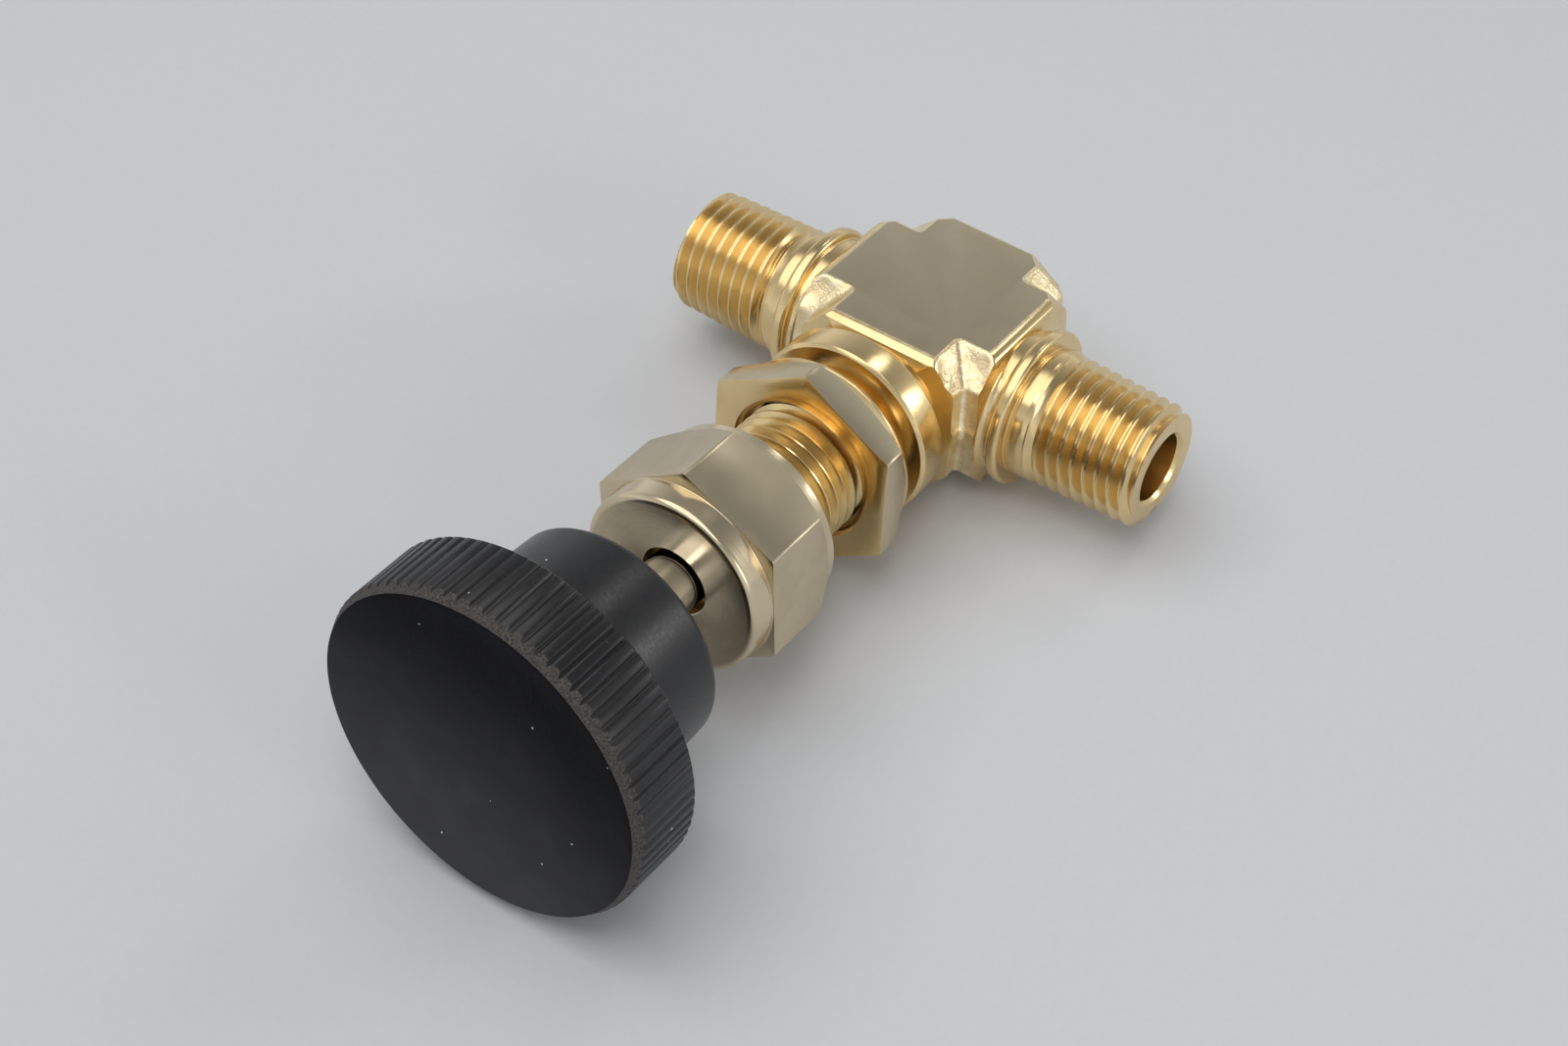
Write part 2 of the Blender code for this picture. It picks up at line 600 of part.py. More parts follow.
def handle_set_screw(steel):
    bottom = STEM_RADIUS + GAP
    screw = turned("handle_set_screw", [
        (0, SET_SCREW_TOP),
        (SET_SCREW_RADIUS, SET_SCREW_TOP),
        (SET_SCREW_RADIUS, bottom + SET_SCREW_POINT),
        (SET_SCREW_RADIUS - SET_SCREW_POINT, bottom),
        (0, bottom)], VALVE, ALONG_SET_SCREW, steps=SCREW_STEPS)
    socket = prism("screw_socket", SET_SCREW_SOCKET, 6, 0.0,
                   SET_SCREW_TOP - SET_SCREW_SOCKET_DEPTH, SET_SCREW_TOP + OVERSHOOT,
                   CUTTERS, ALONG_SET_SCREW)
    combine(screw, socket, "DIFFERENCE")
    screw.data.materials.append(steel)


def shade_smooth(collection):
    for made in collection.objects:
        made.data.shade_smooth()
        made.data.set_sharp_from_angle(angle=SMOOTH_ANGLE)


clear_scene()
VALVE = new_collection("needle_valve")
CUTTERS = new_collection("cutters")
forged_brass = new_material("forged_brass", (0.66, 0.56, 0.34), 0.38, 1.0)
turned_brass = new_material("turned_brass", (0.72, 0.62, 0.38), 0.28, 1.0)
stem_steel = new_material("stem_steel", (0.62, 0.58, 0.52), 0.2, 1.0)
screw_steel = new_material("screw_steel", (0.12, 0.12, 0.12), 0.4, 1.0)
packing_plastic = new_material("packing_plastic", (0.86, 0.86, 0.83), 0.5, 0.0)
handle_plastic = new_material("handle_plastic", (0.018, 0.018, 0.02), 0.35, 0.0)
valve_body(forged_brass)
panel_nut(turned_brass)
packing_nut(turned_brass)
packing_set(turned_brass, packing_plastic)
needle_tip(stem_steel)
stem(stem_steel)
handle_knob(handle_plastic)
handle_insert(turned_brass)
handle_set_screw(screw_steel)
shade_smooth(VALVE)
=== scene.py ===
"""Needle valve: the finished pieces, their materials, and the light, floor and camera.

Pieces are modelled in millimetres about their own axis, with Z along it, and are then laid
along the stem or a port. Stations along the stem, s, count from the axis of the ports toward
the handle. Stations along a port, x, count from the stem axis.
"""
import math

import bmesh
import bpy
from mathutils import Matrix, Vector


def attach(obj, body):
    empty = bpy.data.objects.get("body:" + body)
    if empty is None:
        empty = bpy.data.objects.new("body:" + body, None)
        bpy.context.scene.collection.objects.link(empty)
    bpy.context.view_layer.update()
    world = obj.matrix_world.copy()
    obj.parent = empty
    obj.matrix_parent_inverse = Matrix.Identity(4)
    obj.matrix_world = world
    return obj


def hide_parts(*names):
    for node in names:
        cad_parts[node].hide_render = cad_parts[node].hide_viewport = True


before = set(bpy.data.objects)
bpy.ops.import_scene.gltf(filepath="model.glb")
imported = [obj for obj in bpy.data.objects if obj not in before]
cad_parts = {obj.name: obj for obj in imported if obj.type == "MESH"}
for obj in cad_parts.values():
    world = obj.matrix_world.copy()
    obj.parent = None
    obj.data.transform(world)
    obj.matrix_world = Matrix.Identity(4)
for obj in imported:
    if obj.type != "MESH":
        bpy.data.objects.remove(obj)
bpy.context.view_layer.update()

MM = 0.001
TURN_STEPS = 160                # facets round a turned piece
STEM_STEPS = 96                 # facets round the stem and the insert it enters
BORE_STEPS = 64                 # facets round a bore or the set screw
DRILL_STEPS = 48                # facets round a small drilling
ARC_STEP = math.radians(15)     # the most that one facet of a profile's rounded corner turns
EASED_FACETS = 2                # facets across an edge that is eased after cutting
OVERSHOOT = 1.0                 # how far a cutter reaches past the face it opens
WELD = 1e-4                     # distance at which points of one mesh are merged
OUTLINE_WELD = 0.01             # the same, for an outline that is spun from copies
SHARP = math.radians(32)        # edges that turn more than this stay crisp

# Threads
THREAD_PITCH = 25.4 / 18
THREAD_DEPTH = 0.98
THREAD_HALF_ANGLE = math.radians(30)
THREAD_STEPS = 96               # facets in one turn
SPARE_TURNS = 2                 # turns that are cut off again at the two ends
CREST_FLAT = 0.16
ROOT_FLAT = 0.16
CREST_EDGE = 0.05               # rounding of the crest's two edges
PIPE_TAPER = 1 / 32

# Forged block
FLAT_HALF_HEIGHT = 8.5
SHOULDER_HALF_HEIGHT = 5.4
NECK_ARM_HALF_WIDTH = 6.3
NECK_WEB_HALF_WIDTH = 9.3
NECK_ARM_END = 11.2
NECK_FLAT_END = 9.5             # the flats roll down before the arms end
PORT_FLAT_END = 10.9
PORT_ARM_END = 12.2
PORT_ARM_NEAR = 4.7
PORT_ARM_FAR = -7.3
PORT_WEB_NEAR = 7.8
PORT_WEB_FAR = -9.6
BASE_FLAT_END = -11.7
BASE_WEB_END = -12.6
CORNER_CUT = 1.4
DRAFT = 0.25                    # how far the sides swell from the shoulder to the parting line
FLASH = 0.3                     # height of the trimmed flash on the parting line
FLASH_HALF_WIDTH = 0.55
FORGED_EDGE = 0.5               # rounding of the forged edges
FORGED_FILLET = 0.5             # rounding of the inside corners
FLAT_END_EDGE = 0.9             # rounding where the flats roll down to the turned ends
FORGED_FACETS = 4               # facets across each of those roundings
EDGE_LEAST = math.radians(12)   # an edge that turns less than this isn't rounded
FILLET_LEAST = math.radians(35)     # nor an inside corner that turns less than this
POCKET_BORDER = 0.3             # the sloping sides sink inside a raised border
POCKET_SLOPE = 0.4              # width over which they sink
POCKET_DEPTH = 0.14
POCKET_LEAST_AREA = 2.0
POCKET_LEAN = (0.55, 0.8)       # how far the sloping sides face up or down
PORT_TRIM = 11.5                # where the lathe has cut back a port arm
PORT_TRIM_FILLET = 0.8
NECK_TRIM = 10.3                # where the lathe has cut back the neck arm
NECK_TRIM_FILLET = 0.6
TRIM_ZONE = 1.4                 # how far a trimmed face leans back from there
TRIM_LEAN = math.radians(14)
TRIM_REACH = 9.0                # how far past its groove the trimming cut reaches
FACING_UP = 0.999               # a face is one of the flats if it faces up or down this far
FACING_OUT = 0.25               # a trimmed face faces out along its arm this far

# Ports
PORT_END = 28.58
PORT_COLLAR_START = 12.6
PORT_COLLAR_END = 14.1
PORT_COLLAR_RADIUS = 8.5
PORT_GROOVE_RADIUS = 7.7
PORT_COLLAR_INNER_EDGE = 0.6    # rounding of the bead collar toward the forging
PORT_COLLAR_OUTER_EDGE = 0.45   # and toward the thread
PORT_GROOVE_FILLET = 0.25
PORT_SHANK_RADIUS = 7.04
PORT_SHANK_SLOPE = 0.4          # length of the slope at each end of the shank
PORT_SHANK_INNER_EDGE = 0.2
PORT_SHANK_OUTER_EDGE = 0.3
PORT_NOTCH_RADIUS = 6.85
PORT_NOTCH_FILLET = 0.12
PORT_THREAD_START = 16.0
PORT_RUN_OUT = 1.6 * THREAD_PITCH   # length over which the roots rise to the crest
PORT_CREST_RADIUS = 6.95
PORT_FACE_RADIUS = 5.95
PORT_BORE_RADIUS = 3.7
PORT_BORE_END = 14.0
PORT_MOUTH_CHAMFER = 0.4
PORT_MOUTH_EDGE = 0.08
PORT_ROOT = 9.0                 # where the turned port ends inside the forging
DRILL_HALF_ANGLE = math.radians(59)

# Neck
NECK_COLLAR_START = 12.0
NECK_COLLAR_END = 15.4
NECK_COLLAR_RADIUS = 10.05
NECK_COLLAR_CHAMFER = 0.35
NECK_CHAMFER_EDGE = 0.1
NECK_COLLAR_BACK_EDGE = 0.3
NECK_GROOVE_RADIUS = 7.7
NECK_GROOVE_SLOPE = 0.4         # length of the slope from the collar down to the groove
NECK_GROOVE_FILLET = 0.7
NECK_SEAT_INNER_RADIUS = 7.5
NECK_SEAT_SLOPE = 0.3           # length of the slope from the seat down to the undercut
NECK_SEAT_FILLET = 0.15
NECK_UNDERCUT_END = 16.7
NECK_UNDERCUT_RADIUS = 6.1
NECK_UNDERCUT_SLOPE = 0.5       # length of the slope from the undercut up to the thread
NECK_UNDERCUT_FILLET = 0.2
NECK_RUN_OUT = 0.7 * THREAD_PITCH   # length over which the roots rise to the crest
NECK_CREST_RADIUS = 7.14
NECK_END = 36.6
NECK_END_CHAMFER = 0.9
NECK_ROOT = 6.0                 # where the turned neck ends inside the forging
STEM_BORE_RADIUS = 3.9
PACKING_BORE_START = 23.0
PACKING_BORE_RADIUS = 4.9
SEAT = -0.5
ORIFICE_RADIUS = 2.2
ORIFICE_END = -7.0
DRILLING_RADIUS = 2.2
DRILLING_START = 14.5
INLET_DRILLING_S = -6.0
OUTLET_DRILLING_S = 2.6

# Hexagon nuts
HEX_FLATS = 20.64
HEX_CORNER_RADIUS = HEX_FLATS / math.sqrt(3)
HEX_EDGE = 0.2
HEX_EDGE_FACETS = 3
HEX_FLAT_TILT = 0.02            # a drawn flat leans less than this
HEX_FLAT_DIP = 0.02             # and is no farther than this inside the hexagon
NUT_BORE_RADIUS = 7.44
NUT_EDGE = 0.06                 # easing of the nuts' cut edges
PANEL_NUT_START = 18.25
PANEL_NUT_BAND_END = 19.4       # the round band behind the hexagon, with a fine groove in it
PANEL_NUT_GROOVE = 18.7
PANEL_NUT_GROOVE_HALF_WIDTH = 0.06
PANEL_NUT_GROOVE_SINK = 0.03    # how far the band has sunk at the groove's edges
PANEL_NUT_GROOVE_DEPTH = 0.1
PANEL_NUT_BACK_SINK = 0.08      # and at its back
PANEL_NUT_BACK_EDGE = 0.22
PANEL_NUT_CORNER_START = 20.2
PANEL_NUT_END = 22.9
PANEL_NUT_BAND_RADIUS = 10.28
PANEL_NUT_FACE_RADIUS = 9.7
PANEL_NUT_FACE_FALL = 0.10      # slope of the near face outside its turned ring
PANEL_NUT_MOUTH_RADIUS = 8.0
PANEL_NUT_CORNER = math.radians(30.2)       # the angle at which a corner stands
PACKING_NUT_START = 31.15
PACKING_NUT_MOUTH_CHAMFER = 0.6
PACKING_NUT_BACK_EDGE = 0.2
PACKING_NUT_BAND_END = 32.3     # the round band behind the hexagon
PACKING_NUT_BAND_RADIUS = 10.28
PACKING_NUT_CORNER_START = 33.6
PACKING_NUT_SHOULDER = 41.2
PACKING_NUT_SHOULDER_FILLET = 0.12
PACKING_NUT_END = 44.0
PACKING_NUT_CEILING = 40.2
PACKING_NUT_CORNER = math.radians(33.9)     # the angle at which a corner stands
PACKING_NUT_COLLAR_RADIUS = 10.2
PACKING_NUT_BEAD_RADIUS = 10.1
PACKING_NUT_BEAD_EDGE = 0.7
PACKING_NUT_BEAD_INNER = 9.3
PACKING_NUT_BEAD_INNER_EDGE = 1.5
PACKING_NUT_FACE = 43.45        # the shallow cone inside the bead, where it meets the hole
PACKING_NUT_FACE_EDGE = 0.08
PACKING_NUT_HOLE_RADIUS = 3.75
PACKING_NUT_HOLE_CHAMFER = 0.15
PACKING_NUT_HOLE_EDGE = 0.1

# Stem
STEM_RADIUS = 3.175
STEM_END = 64.6
STEM_END_EDGE = 0.5
STEM_THREAD_RADIUS = 3.6
STEM_SHOULDER = 20.88
STEM_THREAD_START = 9.5
STEM_FOOT_RADIUS = 2.9
STEM_FOOT = 5.23
STEM_FOOT_CHAMFER = 0.7
STEM_SOCKET_RADIUS = 1.7
STEM_SOCKET_END = 8.73

# Handle
HUB_START = 52.1
HUB_RADIUS = 11.95
HUB_ROOT_RADIUS = 12.5
HUB_EDGE = 0.9
HUB_OVERLAP = 2                 # how far the hub runs on inside the rim
RIM_START = 63.9
RIM_CHAMFER_START = 71.4
RIM_END = 72.55
RIM_RADIUS = 18.35
RIM_EDGE_RADIUS = 17.75
RIM_EDGE = 0.06
RIM_BACK_CHAMFER = 0.35
RIM_BACK_EDGE = 0.1
CHAMFER_LEAN = (0.1, 0.9)       # how far the rim's rough chamfer faces along the stem
DISH_RADIUS = 17.52
DISH_DEPTH = 2.6
DISH_STEPS = 24
FLUTE_COUNT = 78
FLUTE_DEPTH = 0.25
FLUTE_SHARE = 0.54              # part of the pitch that a flute takes
FLUTE_FLOOR = 0.08              # part of the pitch that is the flute's floor
FLUTE_EASE = 0.07               # part of the pitch that eases each edge of a flute
FLUTE_EASE_DEPTH = 0.03
INSERT_RADIUS = 5.5
INSERT_END = 65.2
INSERT_EDGE = 0.2
INSERT_GAP = 0.3
SET_SCREW_S = 58.0
SET_SCREW_RADIUS = 1.7
SET_SCREW_TOP = 8.6
SET_SCREW_TOP_EDGE = 0.15
SET_SCREW_POINT = 0.7           # size of the chamfer at its point
SET_SCREW_POINT_EDGE = 0.1
SET_SCREW_SOCKET = 0.9          # from its middle to its corners
SET_SCREW_SOCKET_DEPTH = 1.8
SET_SCREW_SOCKET_EDGE = 0.03

# How a piece that is modelled along Z is laid along the stem or a port
STEM_TURN = Matrix.Rotation(math.radians(90), 4, "X")
RIGHT_TURN = Matrix.Rotation(math.radians(90), 4, "Y")
LEFT_TURN = Matrix.Rotation(math.radians(-90), 4, "Y")
AXES_CROSSING = Matrix.Translation((0, NECK_COLLAR_END * MM, 0))
ALONG_STEM = AXES_CROSSING @ STEM_TURN
ALONG_RIGHT_PORT = AXES_CROSSING @ RIGHT_TURN
ALONG_LEFT_PORT = AXES_CROSSING @ LEFT_TURN
ALONG_SET_SCREW = (AXES_CROSSING @ Matrix.Translation((0, -SET_SCREW_S * MM, 0))
                   @ Matrix.Rotation(math.radians(180), 4, "X"))

# Finishes
BRASS = (0.84, 0.635, 0.32)
BRASS_DULL = (0.70, 0.51, 0.245)
BRASS_PALE = (0.88, 0.75, 0.47)
BRASS_TONES = (BRASS, BRASS_DULL, BRASS_PALE)
PALE_BRASS_TONES = ((0.70, 0.59, 0.40), (0.59, 0.485, 0.315), (0.80, 0.715, 0.54))
SATIN_BRASS = (0.61, 0.525, 0.365)
SATIN_BRASS_DULL = (0.52, 0.445, 0.305)
TARNISH_SHARE = 0.5             # how far full tarnish takes a brass to its dull tone
SKIN_HOLLOW = (0.86, 0.69, 0.41)    # the raw forged skin
SKIN_RAISED = (0.95, 0.83, 0.57)
SKIN_FOLD = (0.82, 0.655, 0.38)
STEEL = (0.64, 0.625, 0.61)
STEEL_RUBBED = (0.55, 0.535, 0.52)
OXIDE = (0.03, 0.03, 0.034)
OXIDE_WORN = (0.07, 0.065, 0.06)
PACKING_WHITE = (0.84, 0.84, 0.81)
PACKING_SHADED = (0.77, 0.76, 0.72)
HANDLE_BLACK = ((0.008, 0.008, 0.009), (0.013, 0.013, 0.0145))      # clear, and under haze
# The dish's colour holds painted light and shade: a darker black for its shaded side, and a grey
# for its lit side.
DISH_PAINTED_SHADE = ((0.003, 0.003, 0.004), (0.005, 0.005, 0.006))
DISH_PAINTED_LIGHT = ((0.068, 0.068, 0.073), (0.082, 0.082, 0.088))
DISH_PAINTED_LIGHT_SIDE = (-0.33, -0.94)     # the way across the dish to its grey side
DISH_PAINTED_LIGHT_REACH = (-13.0, 19.0)     # where the grey starts and is full, along that way
HANDLE_GLOSS = 0.5
DISH_GLOSS = 0.05
HANDLE_ROUGHNESS = 0.27
DISH_ROUGHNESS = 0.54
ROUGHNESS_SPREAD = 0.1
DUST = (0.75, 0.75, 0.75)
CHAMFER_DARK = (0.026, 0.023, 0.021)
CHAMFER_FILLER = (0.135, 0.12, 0.106)
RING_LEAN = 0.83                # how close rings on an end face are to those along a piece

# Camera, floor and light, in metres
CAMERA_PLACE = Vector((0.122344, -0.195436, 0.201932))
CAMERA_RIGHT = Vector((0.81019611, 0.58433811, 0.04616533))
CAMERA_FORWARD = Vector((-0.40156619, 0.61069899, -0.68248907))
CAMERA_LENS = 69.498
CAMERA_NEAR = 0.01              # nothing closer than this is drawn
SENSOR_WIDTH = 36.0
FLOOR_HEIGHT = -0.012027        # of the floor under the origin
FLOOR_SLOPE = 0.1303            # the valve lies over on its handle, and the floor tilts to suit
FLOOR_RADIUS = 0.7
FLOOR_STEPS = 96
FLOOR_TONES = ((0.70, 0.72, 0.75), (0.74, 0.76, 0.79))
BACKDROP = (0.80, 0.82, 0.84)
BACKDROP_OVERHEAD = (0.20, 0.205, 0.21)
EVEN_LIGHT = (0.92, 0.95, 1.0)
EVEN_LIGHT_STRENGTH = 0.3
LAMP_COLOUR = (1.0, 0.98, 0.95)
LAMP_AIM = Vector((0, -0.02, 0))
LAMPS = (                       # name, place, size across and power
    ("overhead", (-0.12, -0.14, 0.48), 0.60, 1.3),
    ("front", (0.16, -0.25, 0.44), 0.16, 0.22),
    ("side", (0.50, -0.09, 0.19), 0.22, 0.3),
    ("back", (0.03, 0.40, 0.52), 0.14, 0.18),
    ("back right", (0.43, 0.37, 0.25), 0.18, 0.32),
)


# Mesh helpers

def rounded(corners):
    """Profile points from (radius, station, fillet) corners, with an arc at each fillet."""
    points = [Vector(corners[0][:2])]
    for before, corner, after in zip(corners, corners[1:], corners[2:]):
        place = Vector(corner[:2])
        fillet = corner[2] if len(corner) > 2 else 0.0
        if fillet == 0.0:
            points.append(place)
            continue
        back = (Vector(before[:2]) - place).normalized()
        ahead = (Vector(after[:2]) - place).normalized()
        half = back.angle(ahead) / 2
        middle = place + (back + ahead).normalized() * fillet / math.sin(half)
        first = place + back * fillet / math.tan(half) - middle
        last = place + ahead * fillet / math.tan(half) - middle
        steps = max(2, math.ceil(first.angle(last) / ARC_STEP))
        points += [middle + first.slerp(last, i / steps) * fillet for i in range(steps + 1)]
    points.append(Vector(corners[-1][:2]))
    return [tuple(p) for p in points]


def clean(bm):
    """The mesh with its doubles merged and its faces turned outward."""
    bmesh.ops.remove_doubles(bm, verts=bm.verts, dist=WELD)
    bmesh.ops.recalc_face_normals(bm, faces=bm.faces)
    return bm


def turned(profile, closed=False, steps=TURN_STEPS):
    """A turned shape, from (radius, station) points that are spun about Z."""
    bm = bmesh.new()
    points = [bm.verts.new((r, 0.0, h)) for r, h in profile]
    edges = [bm.edges.new(pair) for pair in zip(points, points[1:])]
    if closed:
        edges.append(bm.edges.new((points[-1], points[0])))
    bmesh.ops.spin(bm, geom=points + edges, cent=(0, 0, 0), axis=(0, 0, 1),
                   angle=math.tau, steps=steps, use_merge=True)
    return clean(bm)


def prism(radius, sides, corner, bottom, top):
    """A regular prism with one corner at the given angle."""
    bm = bmesh.new()
    bmesh.ops.create_cone(bm, cap_ends=True, segments=sides, radius1=radius, radius2=radius,
                          depth=top - bottom)
    first_corner = max(bm.verts, key=lambda v: v.co.x)
    turn = corner - math.atan2(first_corner.co.y, first_corner.co.x)
    bmesh.ops.rotate(bm, verts=bm.verts, matrix=Matrix.Rotation(turn, 3, "Z"))
    bmesh.ops.translate(bm, verts=bm.verts, vec=(0, 0, (top + bottom) / 2))
    return bm


def rod(radius, bottom, top, steps):
    """A plain round rod along Z."""
    return turned([(0, top), (radius, top), (radius, bottom), (0, bottom)], steps=steps)


def temporary(bm):
    """A scene object that lasts while something is cut."""
    mesh = bpy.data.meshes.new("cutting")
    bm.to_mesh(mesh)
    bm.free()
    made = bpy.data.objects.new("cutting", mesh)
    bpy.context.scene.collection.objects.link(made)
    return made


def cut(bm, *steps, edge=0.0):
    """The mesh after boolean (operation, other mesh) steps, with its crisp edges eased."""
    target = temporary(bm)
    used = [target]
    for operation, other in steps:
        used.append(temporary(other))
        boolean = target.modifiers.new(operation, "BOOLEAN")
        boolean.operation = operation
        boolean.object = used[-1]
        boolean.solver = "EXACT"
    if edge:
        easing = target.modifiers.new("ease", "BEVEL")
        easing.width = edge
        easing.segments = EASED_FACETS
        easing.limit_method = "ANGLE"
        easing.angle_limit = SHARP
    bpy.context.view_layer.update()
    evaluated = target.evaluated_get(bpy.context.evaluated_depsgraph_get())
    result = bmesh.new()
    result.from_mesh(evaluated.to_mesh())
    evaluated.to_mesh_clear()
    for obj in used:
        mesh = obj.data
        bpy.data.objects.remove(obj)
        bpy.data.meshes.remove(mesh)
    return clean(result)


def piece(name, bm, placement, materials, pick=None):
    """A finished piece at the origin, with its place in its mesh, in metres."""
    if bm.calc_volume(signed=True) < 0:
        bmesh.ops.reverse_faces(bm, faces=bm.faces)
    if pick:
        for face in bm.faces:
            face.material_index = pick(face)
    bmesh.ops.transform(bm, matrix=placement @ Matrix.Scale(MM, 4), verts=bm.verts)
    mesh = bpy.data.meshes.new(name)
    bm.to_mesh(mesh)
    bm.free()
    mesh.shade_smooth()
    mesh.set_sharp_from_angle(angle=SHARP)
    for material in materials:
        mesh.materials.append(material)
    made = bpy.data.objects.new(name, mesh)
    bpy.context.scene.collection.objects.link(made)
    return made


def stands_for(made, node, body):
    """Puts a finished piece in the place of a solid, on the body that carries it."""
    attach(made, body)
    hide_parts(node)


# Threads

def open_rim(bm, station):
    """The open edges at a station."""
    return [e for e in bm.edges
            if e.is_boundary and all(abs(v.co.z - station) < WELD for v in e.verts)]


def extend(bm, rim, rings):
    """Carries an open round rim on through further (radius, station) rings."""
    for radius, station in rings:
        grown = bmesh.ops.extrude_edge_only(bm, edges=rim)["geom"]
        rim = [g for g in grown if isinstance(g, bmesh.types.BMEdge) and g.is_boundary]
        for vert in (g for g in grown if isinstance(g, bmesh.types.BMVert)):
            vert.co.xy = vert.co.xy.normalized() * radius
            vert.co.z = station


def thread(start, end, crest, taper, run_out, end_radius):
    """A right-hand thread between two stations, open at both ends.

    Its roots rise to the crest over run_out at the start, and its end is chamfered at 45
    degrees down to end_radius.
    """
    half = THREAD_PITCH / 2
    one_side = [(THREAD_DEPTH, half), (THREAD_DEPTH, half - ROOT_FLAT / 2),
                (CREST_EDGE, CREST_FLAT / 2 + CREST_EDGE * math.tan(THREAD_HALF_ANGLE)),
                (0.0, CREST_FLAT / 2)]
    outline = [(d, -h) for d, h in one_side] + [(d, h) for d, h in reversed(one_side)]
    bm = bmesh.new()
    points = [bm.verts.new((crest - d, 0.0, start - half + h)) for d, h in outline]
    edges = [bm.edges.new(pair) for pair in zip(points, points[1:])]
    turns = math.ceil((end - start) / THREAD_PITCH) + SPARE_TURNS
    bmesh.ops.spin(bm, geom=points + edges, cent=(0, 0, 0), axis=(0, 0, 1),
                   dvec=(0, 0, THREAD_PITCH / THREAD_STEPS), angle=turns * math.tau,
                   steps=turns * THREAD_STEPS)
    bmesh.ops.remove_doubles(bm, verts=bm.verts, dist=WELD)
    for station, side in ((start, -1), (end, 1)):
        bmesh.ops.bisect_plane(bm, geom=[*bm.verts, *bm.edges, *bm.faces], dist=WELD,
                               plane_co=(0, 0, station), plane_no=(0, 0, side),
                               clear_outer=True)
    for vert in bm.verts:
        height = vert.co.z
        drop = crest - vert.co.xy.length
        rising = min(1.0, (height - start) / run_out)
        local_crest = crest - taper * (height - start)
        radius = local_crest - min(drop, THREAD_DEPTH * rising)
        radius = min(radius, end_radius + end - height)
        vert.co.xy = vert.co.xy.normalized() * radius
    return bm


# Valve body

def plus_outline(neck_half, neck_end, port_end, port_near, port_far, base_end, grow=0.0):
    """Right half of the plus, mirrored to the left, and grown outward for the draft."""
    side = neck_half + grow
    far = port_far - grow
    base = base_end - grow
    right = [(side, neck_end), (side, port_near + grow), (port_end, port_near + grow),
             (port_end, far + CORNER_CUT), (port_end - CORNER_CUT, far), (side, far),
             (side, base + CORNER_CUT), (side - CORNER_CUT, base)]
    return right + [(-x, s) for x, s in reversed(right)]


def forged_block():
    """Two plus-shaped flats and wider shoulders, with draft and a trimmed flash line."""
    flat = plus_outline(NECK_ARM_HALF_WIDTH, NECK_FLAT_END, PORT_FLAT_END, PORT_ARM_NEAR,
                        PORT_ARM_FAR, BASE_FLAT_END)
    web = (NECK_WEB_HALF_WIDTH, NECK_ARM_END, PORT_ARM_END, PORT_WEB_NEAR, PORT_WEB_FAR,
           BASE_WEB_END)
    upper = [(FLAT_HALF_HEIGHT, flat), (SHOULDER_HALF_HEIGHT, plus_outline(*web)),
             (2 * FLASH_HALF_WIDTH, plus_outline(*web, DRAFT)),
             (FLASH_HALF_WIDTH, plus_outline(*web, DRAFT + FLASH))]
    levels = upper + [(-z, outline) for z, outline in reversed(upper)]
    bm = bmesh.new()
    rings = []
    for height, outline in levels:
        corners = [bm.verts.new((x, -s, height)) for x, s in outline]
        rings.append([bm.edges.new((a, b)) for a, b in zip(corners, corners[1:] + corners[:1])])
    for above, below in zip(rings, rings[1:]):
        bmesh.ops.bridge_loops(bm, edges=above + below)
    for ring in (rings[0], rings[-1]):
        bmesh.ops.contextual_create(bm, geom=ring)
    bmesh.ops.recalc_face_normals(bm, faces=bm.faces)
    ease(bm, [e for e in bm.edges if on_flat_end(e)], FLAT_END_EDGE)
    for inside, offset, least in ((True, FORGED_FILLET, FILLET_LEAST),
                                  (False, FORGED_EDGE, EDGE_LEAST)):
        ease(bm, [e for e in bm.edges if not on_arm_end(e) and e.is_convex != inside
                  and e.calc_face_angle(0.0) > least], offset)
    for border, depth in ((POCKET_BORDER, 0.0), (POCKET_SLOPE, -POCKET_DEPTH)):
        sides = [f for f in bm.faces if beside_neck(f)]
        bmesh.ops.inset_individual(bm, faces=sides, thickness=border, depth=depth,
                                   use_even_offset=True)
    return clean(bm)


def beside_neck(face):
    """True for the sloping sides that meet between the neck arm and a port arm."""
    centre = face.calc_center_median()
    between = NECK_ARM_HALF_WIDTH < abs(centre.x) < PORT_FLAT_END and -centre.y > PORT_ARM_NEAR
    low, high = POCKET_LEAN
    return between and face.calc_area() > POCKET_LEAST_AREA and low < abs(face.normal.z) < high


def ease(bm, edges, offset):
    """Rounds forged edges and inside corners."""
    bmesh.ops.bevel(bm, geom=edges, offset=offset, offset_type="OFFSET", segments=FORGED_FACETS,
                    profile=0.5, affect="EDGES", material=-1, clamp_overlap=True)


def on_flat_end(edge):
    """True for an edge where a flat ends at the neck or at a port."""
    if not all(abs(abs(v.co.z) - FLAT_HALF_HEIGHT) < WELD for v in edge.verts):
        return False
    at_neck = all(abs(v.co.y + NECK_FLAT_END) < WELD for v in edge.verts)
    at_port = all(abs(abs(v.co.x) - PORT_FLAT_END) < WELD for v in edge.verts)
    return at_neck or at_port


def on_arm_end(edge):
    """True for an edge that lies in the sawn end of the neck arm or a port arm."""
    at_neck = all(abs(v.co.y + NECK_ARM_END) < WELD for v in edge.verts)
    at_port = all(abs(abs(v.co.x) - PORT_ARM_END) < WELD for v in edge.verts)
    return at_neck or at_port


def laid(bm, turn):
    """A mesh about its own axis, turned into the body's millimetre frame."""
    bmesh.ops.transform(bm, matrix=turn, verts=bm.verts)
    return bm


def end_trim(groove_radius, wall, floor_end, fillet):
    """A cutter that turns an arm's end down to a groove, with a fillet at its root."""
    outside = groove_radius + TRIM_REACH
    slope = math.tan(TRIM_LEAN)
    return turned(rounded([
        (outside, floor_end), (groove_radius, floor_end), (groove_radius, wall, fillet),
        (outside, wall - slope * (outside - groove_radius))]), closed=True)


